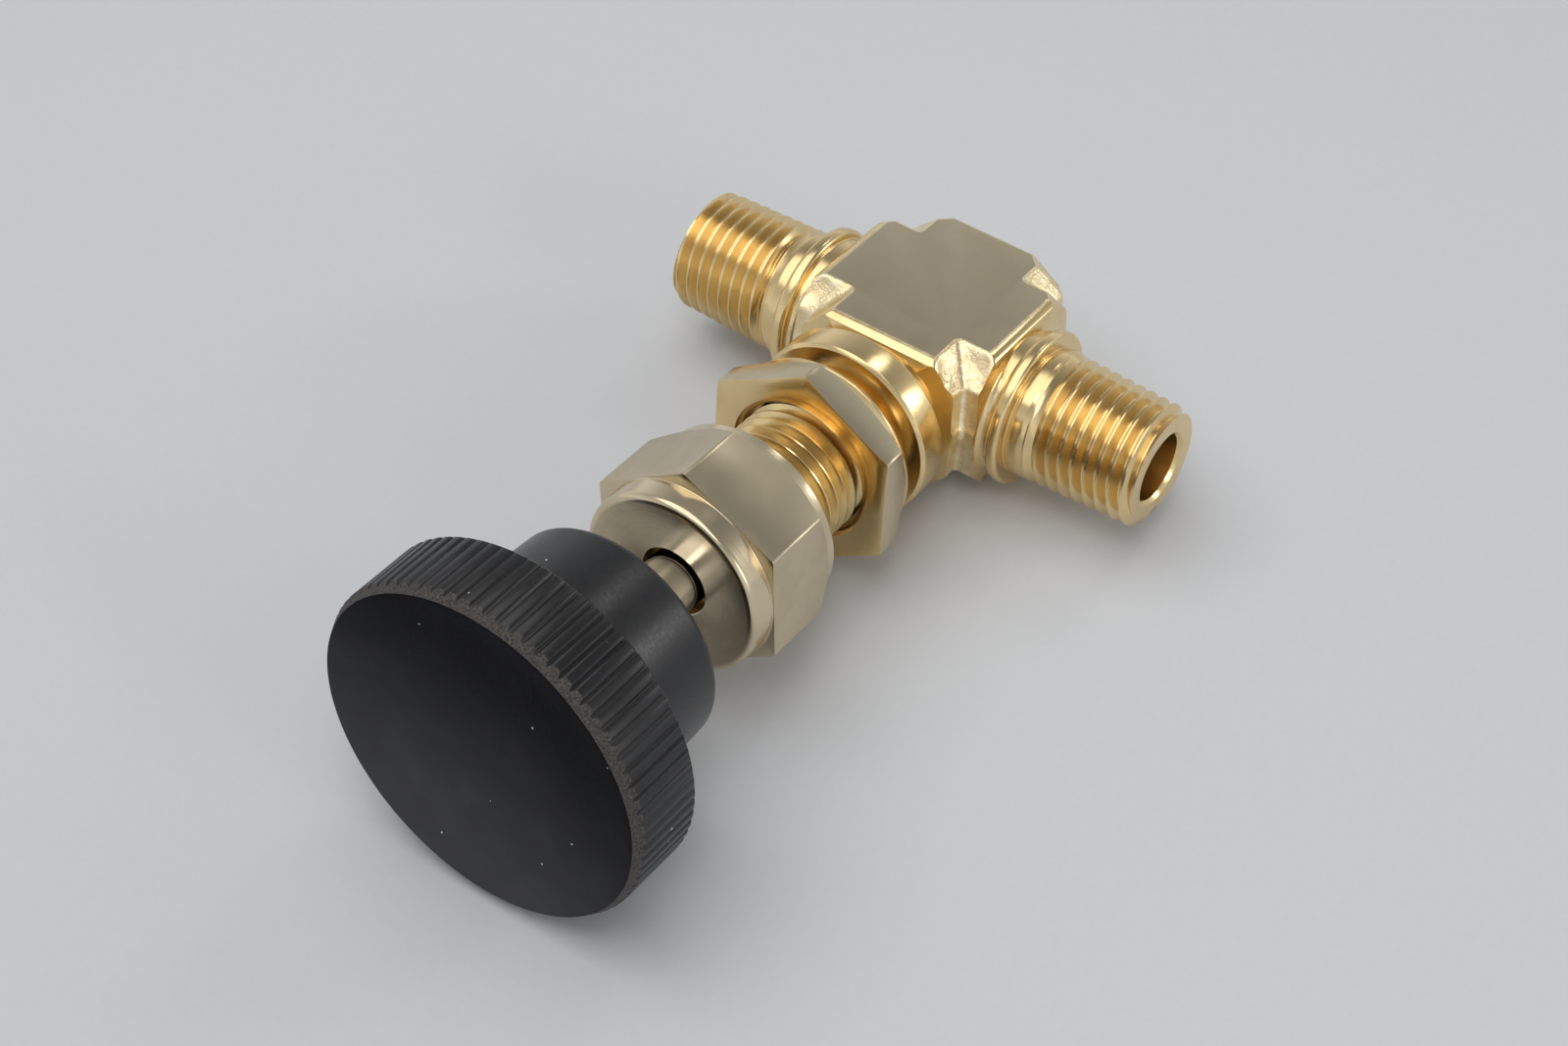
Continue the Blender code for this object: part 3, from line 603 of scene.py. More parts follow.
def drilling(side, inner_s):
    """A straight drilling from the bottom of a port bore to the stem axis."""
    outer = Vector((side * DRILLING_START, 0, 0))
    direction = Vector((0, -inner_s, 0)) - outer
    turn = Vector((0, 0, 1)).rotation_difference(direction).to_matrix().to_4x4()
    hole = rod(DRILLING_RADIUS, 0, direction.length, DRILL_STEPS)
    return laid(hole, Matrix.Translation(outer) @ turn)


def body_surface(face):
    """0 for the flats, 1 for forged skin, 2 and 3 for what the lathe cut at neck and ports."""
    centre = face.calc_center_median()
    outward = face.normal.x * centre.x
    if abs(face.normal.z) > FACING_UP:
        return 0
    if -centre.y > NECK_TRIM - TRIM_ZONE and -face.normal.y > FACING_OUT:
        return 2
    if abs(centre.x) > PORT_TRIM - TRIM_ZONE and outward > FACING_OUT * abs(centre.x):
        return 3
    return 1


def body_forging(materials):
    """The forging, trimmed on the lathe at its three arms, and drilled."""
    stem_bore = turned([
        (0, NECK_ARM_END + OVERSHOOT), (STEM_BORE_RADIUS, NECK_ARM_END + OVERSHOOT),
        (STEM_BORE_RADIUS, SEAT), (ORIFICE_RADIUS, SEAT), (ORIFICE_RADIUS, ORIFICE_END),
        (0, ORIFICE_END)], steps=BORE_STEPS)
    port_trim = (PORT_GROOVE_RADIUS, PORT_TRIM, PORT_ARM_END + OVERSHOOT, PORT_TRIM_FILLET)
    neck_trim = (NECK_GROOVE_RADIUS, NECK_TRIM, NECK_ARM_END + OVERSHOOT, NECK_TRIM_FILLET)
    cutters = [laid(end_trim(*port_trim), RIGHT_TURN), laid(end_trim(*port_trim), LEFT_TURN),
               laid(end_trim(*neck_trim), STEM_TURN), laid(stem_bore, STEM_TURN),
               drilling(1, OUTLET_DRILLING_S), drilling(-1, INLET_DRILLING_S)]
    bm = cut(forged_block(), *[("DIFFERENCE", cutter) for cutter in cutters])
    made = piece("body_forging", bm, AXES_CROSSING, materials, body_surface)
    stands_for(made, "valve_body", "body")


def port(name, placement, brass):
    """A turned port end: bead collar, plain shank, pipe thread, end face and bore."""
    bm = thread(PORT_THREAD_START, PORT_END, PORT_CREST_RADIUS, PIPE_TAPER, PORT_RUN_OUT,
                PORT_FACE_RADIUS)
    shank = rounded([
        (PORT_CREST_RADIUS, PORT_THREAD_START),
        (PORT_SHANK_RADIUS, PORT_THREAD_START - PORT_SHANK_SLOPE, PORT_SHANK_OUTER_EDGE),
        (PORT_SHANK_RADIUS, PORT_COLLAR_END + PORT_SHANK_SLOPE, PORT_SHANK_INNER_EDGE),
        (PORT_NOTCH_RADIUS, PORT_COLLAR_END, PORT_NOTCH_FILLET),
        (PORT_COLLAR_RADIUS, PORT_COLLAR_END, PORT_COLLAR_OUTER_EDGE),
        (PORT_COLLAR_RADIUS, PORT_COLLAR_START, PORT_COLLAR_INNER_EDGE),
        (PORT_GROOVE_RADIUS, PORT_COLLAR_START, PORT_GROOVE_FILLET),
        (PORT_GROOVE_RADIUS, PORT_ROOT), (0, PORT_ROOT)])
    bore = rounded([
        (PORT_FACE_RADIUS, PORT_END),
        (PORT_BORE_RADIUS + PORT_MOUTH_CHAMFER, PORT_END, PORT_MOUTH_EDGE),
        (PORT_BORE_RADIUS, PORT_END - PORT_MOUTH_CHAMFER, PORT_MOUTH_EDGE),
        (PORT_BORE_RADIUS, PORT_BORE_END),
        (0, PORT_BORE_END - PORT_BORE_RADIUS / math.tan(DRILL_HALF_ANGLE))])
    extend(bm, open_rim(bm, PORT_THREAD_START), shank[1:])
    extend(bm, open_rim(bm, PORT_END), bore[1:])
    made = piece(name, clean(bm), placement, [brass])
    stands_for(made, "valve_body", "body")


def neck(brass):
    """The turned neck: root groove, panel collar, undercut, thread and bores."""
    bm = thread(NECK_UNDERCUT_END, NECK_END, NECK_CREST_RADIUS, 0.0, NECK_RUN_OUT,
                NECK_CREST_RADIUS - NECK_END_CHAMFER)
    collar = rounded([
        (NECK_CREST_RADIUS, NECK_UNDERCUT_END),
        (NECK_UNDERCUT_RADIUS, NECK_UNDERCUT_END - NECK_UNDERCUT_SLOPE, NECK_UNDERCUT_FILLET),
        (NECK_UNDERCUT_RADIUS, NECK_COLLAR_END + NECK_SEAT_SLOPE, NECK_SEAT_FILLET),
        (NECK_SEAT_INNER_RADIUS, NECK_COLLAR_END),
        (NECK_COLLAR_RADIUS - NECK_COLLAR_CHAMFER, NECK_COLLAR_END, NECK_CHAMFER_EDGE),
        (NECK_COLLAR_RADIUS, NECK_COLLAR_END - NECK_COLLAR_CHAMFER, NECK_CHAMFER_EDGE),
        (NECK_COLLAR_RADIUS, NECK_COLLAR_START, NECK_COLLAR_BACK_EDGE),
        (NECK_GROOVE_RADIUS, NECK_COLLAR_START - NECK_GROOVE_SLOPE, NECK_GROOVE_FILLET),
        (NECK_GROOVE_RADIUS, NECK_ROOT)])
    inside = [(NECK_CREST_RADIUS - NECK_END_CHAMFER, NECK_END), (PACKING_BORE_RADIUS, NECK_END),
              (PACKING_BORE_RADIUS, PACKING_BORE_START), (STEM_BORE_RADIUS, PACKING_BORE_START),
              (STEM_BORE_RADIUS, NECK_ROOT)]
    extend(bm, open_rim(bm, NECK_UNDERCUT_END), collar[1:])
    extend(bm, open_rim(bm, NECK_END), inside[1:])
    rims = [e for e in bm.edges if e.is_boundary]
    bmesh.ops.bridge_loops(bm, edges=rims)
    made = piece("neck", clean(bm), ALONG_STEM, [brass])
    stands_for(made, "valve_body", "body")


# Nuts

def hexagon(corner, bottom, top):
    """A length of hexagon bar with eased corners."""
    bm = prism(HEX_CORNER_RADIUS, 6, corner, bottom, top)
    upright = [e for e in bm.edges if abs(e.verts[0].co.z - e.verts[1].co.z) > WELD]
    bmesh.ops.bevel(bm, geom=upright, offset=HEX_EDGE, offset_type="OFFSET",
                    segments=HEX_EDGE_FACETS, profile=0.5, affect="EDGES", material=-1)
    return bm


def chamfer_rise(radius, start, corner_start, outside):
    """How far a chamfer that begins at a radius has risen by the outside radius."""
    return (corner_start - start) / (HEX_CORNER_RADIUS - radius) * (outside - radius)


def on_hex_flat(face):
    """1 for the drawn flats of a hexagon, and 0 for what was turned."""
    upright = abs(face.normal.z) < HEX_FLAT_TILT
    outside = face.calc_center_median().xy.length > HEX_FLATS / 2 - HEX_FLAT_DIP
    return 1 if upright and outside else 0


def panel_nut(finishes):
    """The thin loose nut: hexagon bar cut to a turned blank."""
    outside = HEX_CORNER_RADIUS + OVERSHOOT
    rise = chamfer_rise(PANEL_NUT_BAND_RADIUS, PANEL_NUT_BAND_END, PANEL_NUT_CORNER_START, outside)
    groove_edge = PANEL_NUT_BAND_RADIUS - PANEL_NUT_GROOVE_SINK
    fall = PANEL_NUT_FACE_FALL * (outside - PANEL_NUT_FACE_RADIUS)
    mouth = PANEL_NUT_MOUTH_RADIUS - NUT_BORE_RADIUS
    blank = turned(rounded([
        (NUT_BORE_RADIUS, PANEL_NUT_END - mouth), (PANEL_NUT_MOUTH_RADIUS, PANEL_NUT_END),
        (PANEL_NUT_FACE_RADIUS, PANEL_NUT_END), (outside, PANEL_NUT_END - fall),
        (outside, PANEL_NUT_BAND_END + rise), (PANEL_NUT_BAND_RADIUS, PANEL_NUT_BAND_END),
        (groove_edge, PANEL_NUT_GROOVE + PANEL_NUT_GROOVE_HALF_WIDTH),
        (PANEL_NUT_BAND_RADIUS - PANEL_NUT_GROOVE_DEPTH, PANEL_NUT_GROOVE),
        (groove_edge, PANEL_NUT_GROOVE - PANEL_NUT_GROOVE_HALF_WIDTH),
        (PANEL_NUT_BAND_RADIUS - PANEL_NUT_BACK_SINK, PANEL_NUT_START, PANEL_NUT_BACK_EDGE),
        (PANEL_NUT_MOUTH_RADIUS, PANEL_NUT_START), (NUT_BORE_RADIUS, PANEL_NUT_START + mouth)]),
        closed=True)
    bar = hexagon(PANEL_NUT_CORNER, PANEL_NUT_START - OVERSHOOT, PANEL_NUT_END + OVERSHOOT)
    bm = cut(bar, ("INTERSECT", blank), edge=NUT_EDGE)
    made = piece("panel_nut_finished", bm, ALONG_STEM, finishes, on_hex_flat)
    stands_for(made, "panel_nut", "panel_nut")


def packing_nut(finishes):
    """The long nut with a round beaded end, which the stem comes out of."""
    outside = HEX_CORNER_RADIUS + OVERSHOOT
    rise = chamfer_rise(PACKING_NUT_BAND_RADIUS, PACKING_NUT_BAND_END, PACKING_NUT_CORNER_START,
                        outside)
    chamfer = PACKING_NUT_HOLE_CHAMFER
    blank = turned(rounded([
        (PACKING_NUT_HOLE_RADIUS, PACKING_NUT_CEILING),
        (PACKING_NUT_HOLE_RADIUS, PACKING_NUT_FACE - chamfer, PACKING_NUT_HOLE_EDGE),
        (PACKING_NUT_HOLE_RADIUS + chamfer, PACKING_NUT_FACE, PACKING_NUT_FACE_EDGE),
        (PACKING_NUT_BEAD_INNER, PACKING_NUT_END, PACKING_NUT_BEAD_INNER_EDGE),
        (PACKING_NUT_BEAD_RADIUS, PACKING_NUT_END, PACKING_NUT_BEAD_EDGE),
        (PACKING_NUT_COLLAR_RADIUS, PACKING_NUT_SHOULDER, PACKING_NUT_SHOULDER_FILLET),
        (outside, PACKING_NUT_SHOULDER), (outside, PACKING_NUT_BAND_END + rise),
        (PACKING_NUT_BAND_RADIUS, PACKING_NUT_BAND_END),
        (PACKING_NUT_BAND_RADIUS, PACKING_NUT_START, PACKING_NUT_BACK_EDGE),
        (NUT_BORE_RADIUS + PACKING_NUT_MOUTH_CHAMFER, PACKING_NUT_START),
        (NUT_BORE_RADIUS, PACKING_NUT_START + PACKING_NUT_MOUTH_CHAMFER),
        (NUT_BORE_RADIUS, PACKING_NUT_CEILING)]), closed=True)
    bar = hexagon(PACKING_NUT_CORNER, PACKING_NUT_START - OVERSHOOT, PACKING_NUT_END + OVERSHOOT)
    bm = cut(bar, ("INTERSECT", blank), edge=NUT_EDGE)
    made = piece("packing_nut_finished", bm, ALONG_STEM, finishes, on_hex_flat)
    stands_for(made, "packing_nut", "body")


# Stem and handle

def stem(steel):
    """The round stem, with its wider screwed part and the socket in its foot."""
    bm = turned(rounded([
        (0, STEM_END), (STEM_RADIUS, STEM_END, STEM_END_EDGE), (STEM_RADIUS, STEM_SHOULDER),
        (STEM_THREAD_RADIUS, STEM_SHOULDER), (STEM_THREAD_RADIUS, STEM_THREAD_START),
        (STEM_FOOT_RADIUS, STEM_THREAD_START - STEM_FOOT_CHAMFER), (STEM_FOOT_RADIUS, STEM_FOOT),
        (STEM_SOCKET_RADIUS, STEM_FOOT), (STEM_SOCKET_RADIUS, STEM_SOCKET_END),
        (0, STEM_SOCKET_END)]), steps=STEM_STEPS)
    made = piece("stem_polished", bm, ALONG_STEM, [steel])
    stands_for(made, "stem", "handle")


def dish():
    """The shallow spherical face of the handle, from its middle to its edge."""
    ball = (DISH_RADIUS ** 2 + DISH_DEPTH ** 2) / (2 * DISH_DEPTH)
    radii = [DISH_RADIUS * i / DISH_STEPS for i in range(DISH_STEPS + 1)]
    return [(r, RIM_END - DISH_DEPTH + ball - math.sqrt(ball ** 2 - r ** 2)) for r in radii]


def fluted_rim():
    """A long prism whose outline is lands with narrow V flutes between them.

    One flute and one land are drawn, and copies of them are spun round to close the outline.
    """
    pitch = math.tau / FLUTE_COUNT
    side = [(FLUTE_FLOOR / 2, FLUTE_DEPTH), (FLUTE_SHARE / 2 - FLUTE_EASE, FLUTE_EASE_DEPTH),
            (FLUTE_SHARE / 2, 0.0)]
    shape = [(-share, depth) for share, depth in reversed(side)] + side
    shape += [(0.5, 0.0), (1 - FLUTE_SHARE / 2, 0.0)]
    bm = bmesh.new()
    points = []
    for share, depth in shape:
        place = Matrix.Rotation(share * pitch, 3, "Z") @ Vector((RIM_RADIUS - depth, 0, 0))
        points.append(bm.verts.new(place + Vector((0, 0, RIM_START - OVERSHOOT))))
    edges = [bm.edges.new(pair) for pair in zip(points, points[1:])]
    bmesh.ops.spin(bm, geom=points + edges, cent=(0, 0, 0), axis=(0, 0, 1), angle=math.tau,
                   steps=FLUTE_COUNT, use_duplicate=True)
    bmesh.ops.remove_doubles(bm, verts=bm.verts, dist=OUTLINE_WELD)
    face = bmesh.ops.contextual_create(bm, geom=bm.edges[:])["faces"][0]
    grown = bmesh.ops.extrude_face_region(bm, geom=[face])["geom"]
    tops = [g for g in grown if isinstance(g, bmesh.types.BMVert)]
    bmesh.ops.translate(bm, verts=tops, vec=(0, 0, RIM_END - RIM_START + 2 * OVERSHOOT))
    return clean(bm)


def handle_knob(materials):
    """A fluted rim with a dished face, on a smooth hub that is bored for the insert."""
    outside = RIM_RADIUS + OVERSHOOT
    slope = (RIM_END - RIM_CHAMFER_START) / (RIM_RADIUS - RIM_EDGE_RADIUS)
    blank = turned(dish() + rounded([
        (DISH_RADIUS, RIM_END), (RIM_EDGE_RADIUS, RIM_END, RIM_EDGE),
        (outside, RIM_END - slope * (outside - RIM_EDGE_RADIUS)),
        (outside, RIM_START + OVERSHOOT + RIM_BACK_CHAMFER),
        (RIM_RADIUS - RIM_BACK_CHAMFER, RIM_START, RIM_BACK_EDGE), (0, RIM_START)])[1:])
    hub = turned(rounded([
        (0, RIM_START + HUB_OVERLAP), (HUB_ROOT_RADIUS, RIM_START + HUB_OVERLAP),
        (HUB_ROOT_RADIUS, RIM_START), (HUB_RADIUS, HUB_START, HUB_EDGE), (0, HUB_START)]))
    bore = rod(INSERT_RADIUS + INSERT_GAP, HUB_START - OVERSHOOT, INSERT_END + INSERT_GAP,
               BORE_STEPS)
    bm = cut(fluted_rim(), ("INTERSECT", blank), ("UNION", hub), ("DIFFERENCE", bore),
             ("DIFFERENCE", screw_hole()))
    made = piece("handle_knob_moulded", bm, ALONG_STEM, materials, knob_surface)
    stands_for(made, "handle_knob", "handle")


def knob_surface(face):
    """1 for the rough chamfer where the moulding was trimmed, 2 for the dish, 0 for the rest."""
    centre = face.calc_center_median()
    low, high = CHAMFER_LEAN
    if low < face.normal.z < high and centre.xy.length > RIM_EDGE_RADIUS:
        return 1
    return 2 if face.normal.z > high and centre.z > RIM_CHAMFER_START - DISH_DEPTH else 0


def screw_hole():
    """A cutter for the set screw's hole, square to the stem."""
    hole = rod(SET_SCREW_RADIUS + INSERT_GAP, STEM_RADIUS - OVERSHOOT,
               HUB_ROOT_RADIUS + OVERSHOOT, DRILL_STEPS)
    square = Matrix.Rotation(math.radians(90), 4, "X")
    return laid(hole, Matrix.Translation((0, 0, SET_SCREW_S)) @ square)


def handle_insert(brass):
    """The bush in the hub, which the stem enters."""
    bore = STEM_RADIUS + INSERT_GAP
    mouth = HUB_START + INSERT_GAP
    blank = turned(rounded([
        (0, INSERT_END), (INSERT_RADIUS, INSERT_END), (INSERT_RADIUS, mouth, INSERT_EDGE),
        (bore, mouth, INSERT_EDGE), (bore, STEM_END + INSERT_GAP), (0, STEM_END + INSERT_GAP)]),
        steps=STEM_STEPS)
    bm = cut(blank, ("DIFFERENCE", screw_hole()))
    made = piece("handle_insert_turned", bm, ALONG_STEM, [brass])
    stands_for(made, "handle_insert", "handle")


def handle_set_screw(steel):
    """The grub screw that holds the handle, with a hexagon socket."""
    bottom = STEM_RADIUS + INSERT_GAP
    blank = turned(rounded([
        (0, SET_SCREW_TOP), (SET_SCREW_RADIUS, SET_SCREW_TOP, SET_SCREW_TOP_EDGE),
        (SET_SCREW_RADIUS, bottom + SET_SCREW_POINT, SET_SCREW_POINT_EDGE),
        (SET_SCREW_RADIUS - SET_SCREW_POINT, bottom), (0, bottom)]), steps=BORE_STEPS)
    socket = prism(SET_SCREW_SOCKET, 6, 0.0, SET_SCREW_TOP - SET_SCREW_SOCKET_DEPTH,
                   SET_SCREW_TOP + OVERSHOOT)
    bm = cut(blank, ("DIFFERENCE", socket), edge=SET_SCREW_SOCKET_EDGE)
    made = piece("handle_set_screw_finished", bm, ALONG_SET_SCREW, [steel])
    stands_for(made, "handle_set_screw", "handle")


# Materials

def add_node(tree, kind, **settings):
    """A new node with its own properties set."""
    made = tree.nodes.new(kind)
    for name, value in settings.items():
        setattr(made, name, value)
    return made


def math_node(tree, operation, first, second=0.0):
    """A Math node on two values, each a number or a socket."""
    made = add_node(tree, "ShaderNodeMath", operation=operation)
    for socket, value in zip(made.inputs, (first, second)):
        if isinstance(value, (int, float)):
            socket.default_value = value
        else:
            tree.links.new(value, socket)
    return made.outputs[0]


def ramp(tree, value, low, high, bottom=0.0, top=1.0):
    """A smooth rise from bottom to top, as the value goes from low to high."""
    made = add_node(tree, "ShaderNodeMapRange", interpolation_type="SMOOTHSTEP")
    made.inputs["From Min"].default_value = low
    made.inputs["From Max"].default_value = high
    made.inputs["To Min"].default_value = bottom
    made.inputs["To Max"].default_value = top
    tree.links.new(value, made.inputs["Value"])
    return made.outputs["Result"]


def mix_colour(tree, factor, first, second):
    """A mix of two colours, each a tuple or a socket."""
    made = add_node(tree, "ShaderNodeMix", data_type="RGBA")
    tree.links.new(factor, made.inputs[0])
    # A Mix node's two colours are its inputs 6 and 7, and their mix is its output 2.
    for socket, value in ((made.inputs[6], first), (made.inputs[7], second)):
        if isinstance(value, tuple):
            socket.default_value = (*value, 1.0)
        else:
            tree.links.new(value, socket)
    return made.outputs[2]


def noise_value(tree, vector, scale, detail=3.0, roughness=0.55):
    """Noise from 0 to 1, with its scale counted to the millimetre."""
    made = add_node(tree, "ShaderNodeTexNoise")
    made.inputs["Scale"].default_value = scale
    made.inputs["Detail"].default_value = detail
    made.inputs["Roughness"].default_value = roughness
    tree.links.new(vector, made.inputs["Vector"])
    return made.outputs["Fac"]


def new_group(name, inputs, outputs):
    """An empty node group with (label, socket type) inputs and outputs."""
    tree = bpy.data.node_groups.new(name, "ShaderNodeTree")
    for label, kind in inputs:
        tree.interface.new_socket(label, in_out="INPUT", socket_type=kind)
    for label, kind in outputs:
        tree.interface.new_socket(label, in_out="OUTPUT", socket_type=kind)
    return tree, tree.nodes.new("NodeGroupInput"), tree.nodes.new("NodeGroupOutput")


def turning_marks_group():
    """Fine rings that a lathe tool leaves round an axis along Z, in millimetres."""
    tree, given, result = new_group("turning_marks", [("Place", "NodeSocketVector")],
                                    [("Fine", "NodeSocketFloat"), ("Coarse", "NodeSocketFloat")])
    parts = add_node(tree, "ShaderNodeSeparateXYZ")
    tree.links.new(given.outputs["Place"], parts.inputs[0])
    across = math_node(tree, "POWER", parts.outputs[0], 2.0)
    up = math_node(tree, "POWER", parts.outputs[1], 2.0)
    radius = math_node(tree, "SQRT", math_node(tree, "ADD", across, up))
    along = math_node(tree, "ADD", math_node(tree, "MULTIPLY", radius, RING_LEAN), parts.outputs[2])
    for label, scale, detail in (("Fine", 3.6, 1.0), ("Coarse", 1.1, 2.0)):
        rings = add_node(tree, "ShaderNodeTexNoise", noise_dimensions="1D")
        rings.inputs["Scale"].default_value = scale
        rings.inputs["Detail"].default_value = detail
        tree.links.new(along, rings.inputs["W"])
        tree.links.new(rings.outputs["Fac"], result.inputs[label])
    return tree


def mottle_group():
    """Broad tarnish, fine grain and sparse nicks, in millimetres."""
    tree, given, result = new_group("tarnish_and_grain", [("Place", "NodeSocketVector")],
                                    [("Tarnish", "NodeSocketFloat"), ("Grain", "NodeSocketFloat"),
                                     ("Nicks", "NodeSocketFloat")])
    place = given.outputs["Place"]
    tarnish = noise_value(tree, place, 0.22, 4.0, 0.6)
    tree.links.new(ramp(tree, tarnish, 0.38, 0.66), result.inputs["Tarnish"])
    grain = noise_value(tree, place, 3.2, 4.0, 0.65)
    tree.links.new(grain, result.inputs["Grain"])
    stretch = add_node(tree, "ShaderNodeMapping")
    stretch.inputs["Rotation"].default_value = (0.4, 0.9, 0.6)
    stretch.inputs["Scale"].default_value = (0.5, 3.4, 1.6)
    tree.links.new(place, stretch.inputs["Vector"])
    lines = noise_value(tree, stretch.outputs[0], 1.1, 2.0, 0.5)
    tree.links.new(ramp(tree, lines, 0.715, 0.75), result.inputs["Nicks"])
    return tree


def specks_group():
    """Small pale dust specks, a few to the square centimetre, in millimetres."""
    tree, given, result = new_group("dust_specks", [("Place", "NodeSocketVector")],
                                    [("Specks", "NodeSocketFloat"), ("Haze", "NodeSocketFloat")])
    cells = add_node(tree, "ShaderNodeTexVoronoi", feature="F1")
    cells.inputs["Scale"].default_value = 0.6
    tree.links.new(given.outputs["Place"], cells.inputs["Vector"])
    size = add_node(tree, "ShaderNodeSeparateColor")
    tree.links.new(cells.outputs["Color"], size.inputs[0])
    reach = ramp(tree, size.outputs[0], 0.62, 1.0, 0.0, 0.09)
    near = math_node(tree, "LESS_THAN", cells.outputs["Distance"], reach)
    tree.links.new(near, result.inputs["Specks"])
    haze = noise_value(tree, given.outputs["Place"], 0.16, 5.0, 0.6)
    tree.links.new(ramp(tree, haze, 0.4, 0.75), result.inputs["Haze"])
    return tree


TURNING_MARKS = turning_marks_group()
MOTTLE = mottle_group()
SPECKS = specks_group()
# A pattern's turn and centre, which lay it along a piece's own axis
STEM_AXIS = ((math.radians(-90), 0, 0), (0, 0, 0))
RIGHT_PORT_AXIS = ((0, math.radians(-90), 0), (0, -NECK_COLLAR_END, 0))
BODY_AXIS = ((0, 0, 0), (0, -NECK_COLLAR_END, 0))


def new_material(name, roughness, metallic):
    """A material with a Principled shader at plain values."""
    made = bpy.data.materials.new(name)
    made.use_nodes = True
    tree = made.node_tree
    shader = tree.nodes["Principled BSDF"]
    shader.inputs["Roughness"].default_value = roughness
    shader.inputs["Metallic"].default_value = metallic
    return made, tree, shader


def place_in_mm(tree, axis):
    """Object coordinates in millimetres, turned so that the piece's axis is along Z."""
    turn, centre = axis
    coordinates = add_node(tree, "ShaderNodeTexCoord")
    to_mm = add_node(tree, "ShaderNodeMapping")
    to_mm.inputs["Location"].default_value = centre
    to_mm.inputs["Scale"].default_value = (1 / MM, 1 / MM, 1 / MM)
    lay = add_node(tree, "ShaderNodeMapping")
    lay.inputs["Rotation"].default_value = turn
    tree.links.new(coordinates.outputs["Object"], to_mm.inputs["Vector"])
    tree.links.new(to_mm.outputs[0], lay.inputs["Vector"])
    return lay.outputs[0]


def use_group(tree, group, place):
    """The outputs of a node group that is placed in a material."""
    made = add_node(tree, "ShaderNodeGroup", node_tree=group)
    tree.links.new(place, made.inputs["Place"])
    return made.outputs


def bump(tree, height, strength, distance, before=None):
    """A bumped normal, over an earlier one if it is given. The distance is in millimetres."""
    made = add_node(tree, "ShaderNodeBump")
    made.inputs["Strength"].default_value = strength
    made.inputs["Distance"].default_value = distance * MM
    tree.links.new(height, made.inputs["Height"])
    if before:
        tree.links.new(before, made.inputs["Normal"])
    return made.outputs[0]


def tarnished(tree, mottle, bright, dull):
    """A brass that goes part of the way to its dull tone where it is tarnished."""
    share = math_node(tree, "MULTIPLY", mottle["Tarnish"], TARNISH_SHARE)
    return mix_colour(tree, share, bright, dull)


def nicked(tree, height, mottle, depth):
    """A height with the nicks taken out of it."""
    return math_node(tree, "SUBTRACT", height,
                     math_node(tree, "MULTIPLY", mottle["Nicks"], depth))


def turned_brass(name, axis, tones=BRASS_TONES):
    """Bright brass with lathe rings, faint tarnish and a few nicks."""
    bright, dull, pale = tones
    made, tree, shader = new_material(name, 0.2, 1.0)
    place = place_in_mm(tree, axis)
    rings = use_group(tree, TURNING_MARKS, place)
    mottle = use_group(tree, MOTTLE, place)
    colour = tarnished(tree, mottle, bright, dull)
    colour = mix_colour(tree, math_node(tree, "MULTIPLY", rings["Coarse"], 0.2), colour, pale)
    tree.links.new(colour, shader.inputs["Base Color"])
    rough = math_node(tree, "ADD", ramp(tree, mottle["Tarnish"], 0.0, 1.0, 0.15, 0.20),
                      math_node(tree, "MULTIPLY", rings["Fine"], 0.08))
    tree.links.new(rough, shader.inputs["Roughness"])
    height = nicked(tree, rings["Fine"], mottle, 1.5)
    tree.links.new(bump(tree, height, 0.10, 0.02), shader.inputs["Normal"])
    return made


def drawn_brass():
    """Satin flats of drawn hexagon bar, with fine lines along the bar."""
    made, tree, shader = new_material("drawn_brass", 0.32, 1.0)
    place = place_in_mm(tree, STEM_AXIS)
    mottle = use_group(tree, MOTTLE, place)
    stretch = add_node(tree, "ShaderNodeMapping")
    stretch.inputs["Scale"].default_value = (6.0, 6.0, 0.12)
    tree.links.new(place, stretch.inputs["Vector"])
    lines = noise_value(tree, stretch.outputs[0], 1.0, 3.0, 0.6)
    colour = tarnished(tree, mottle, SATIN_BRASS, SATIN_BRASS_DULL)
    tree.links.new(colour, shader.inputs["Base Color"])
    rough = math_node(tree, "ADD", ramp(tree, mottle["Tarnish"], 0.0, 1.0, 0.27, 0.33),
                      math_node(tree, "MULTIPLY", lines, 0.05))
    tree.links.new(rough, shader.inputs["Roughness"])
    height = nicked(tree, lines, mottle, 1.2)
    tree.links.new(bump(tree, height, 0.12, 0.02), shader.inputs["Normal"])
    return made


def flat_brass():
    """The forging's two flats: satin, lightly brushed, with faint stains."""
    made, tree, shader = new_material("flat_brass", 0.34, 1.0)
    place = place_in_mm(tree, BODY_AXIS)
    mottle = use_group(tree, MOTTLE, place)
    fine = noise_value(tree, place, 6.0, 3.0, 0.6)
    colour = tarnished(tree, mottle, SATIN_BRASS, SATIN_BRASS_DULL)
    tree.links.new(colour, shader.inputs["Base Color"])
    tree.links.new(ramp(tree, mottle["Tarnish"], 0.0, 1.0, 0.3, 0.37), shader.inputs["Roughness"])
    height = nicked(tree, fine, mottle, 1.2)
    tree.links.new(bump(tree, height, 0.10, 0.02), shader.inputs["Normal"])
    return made


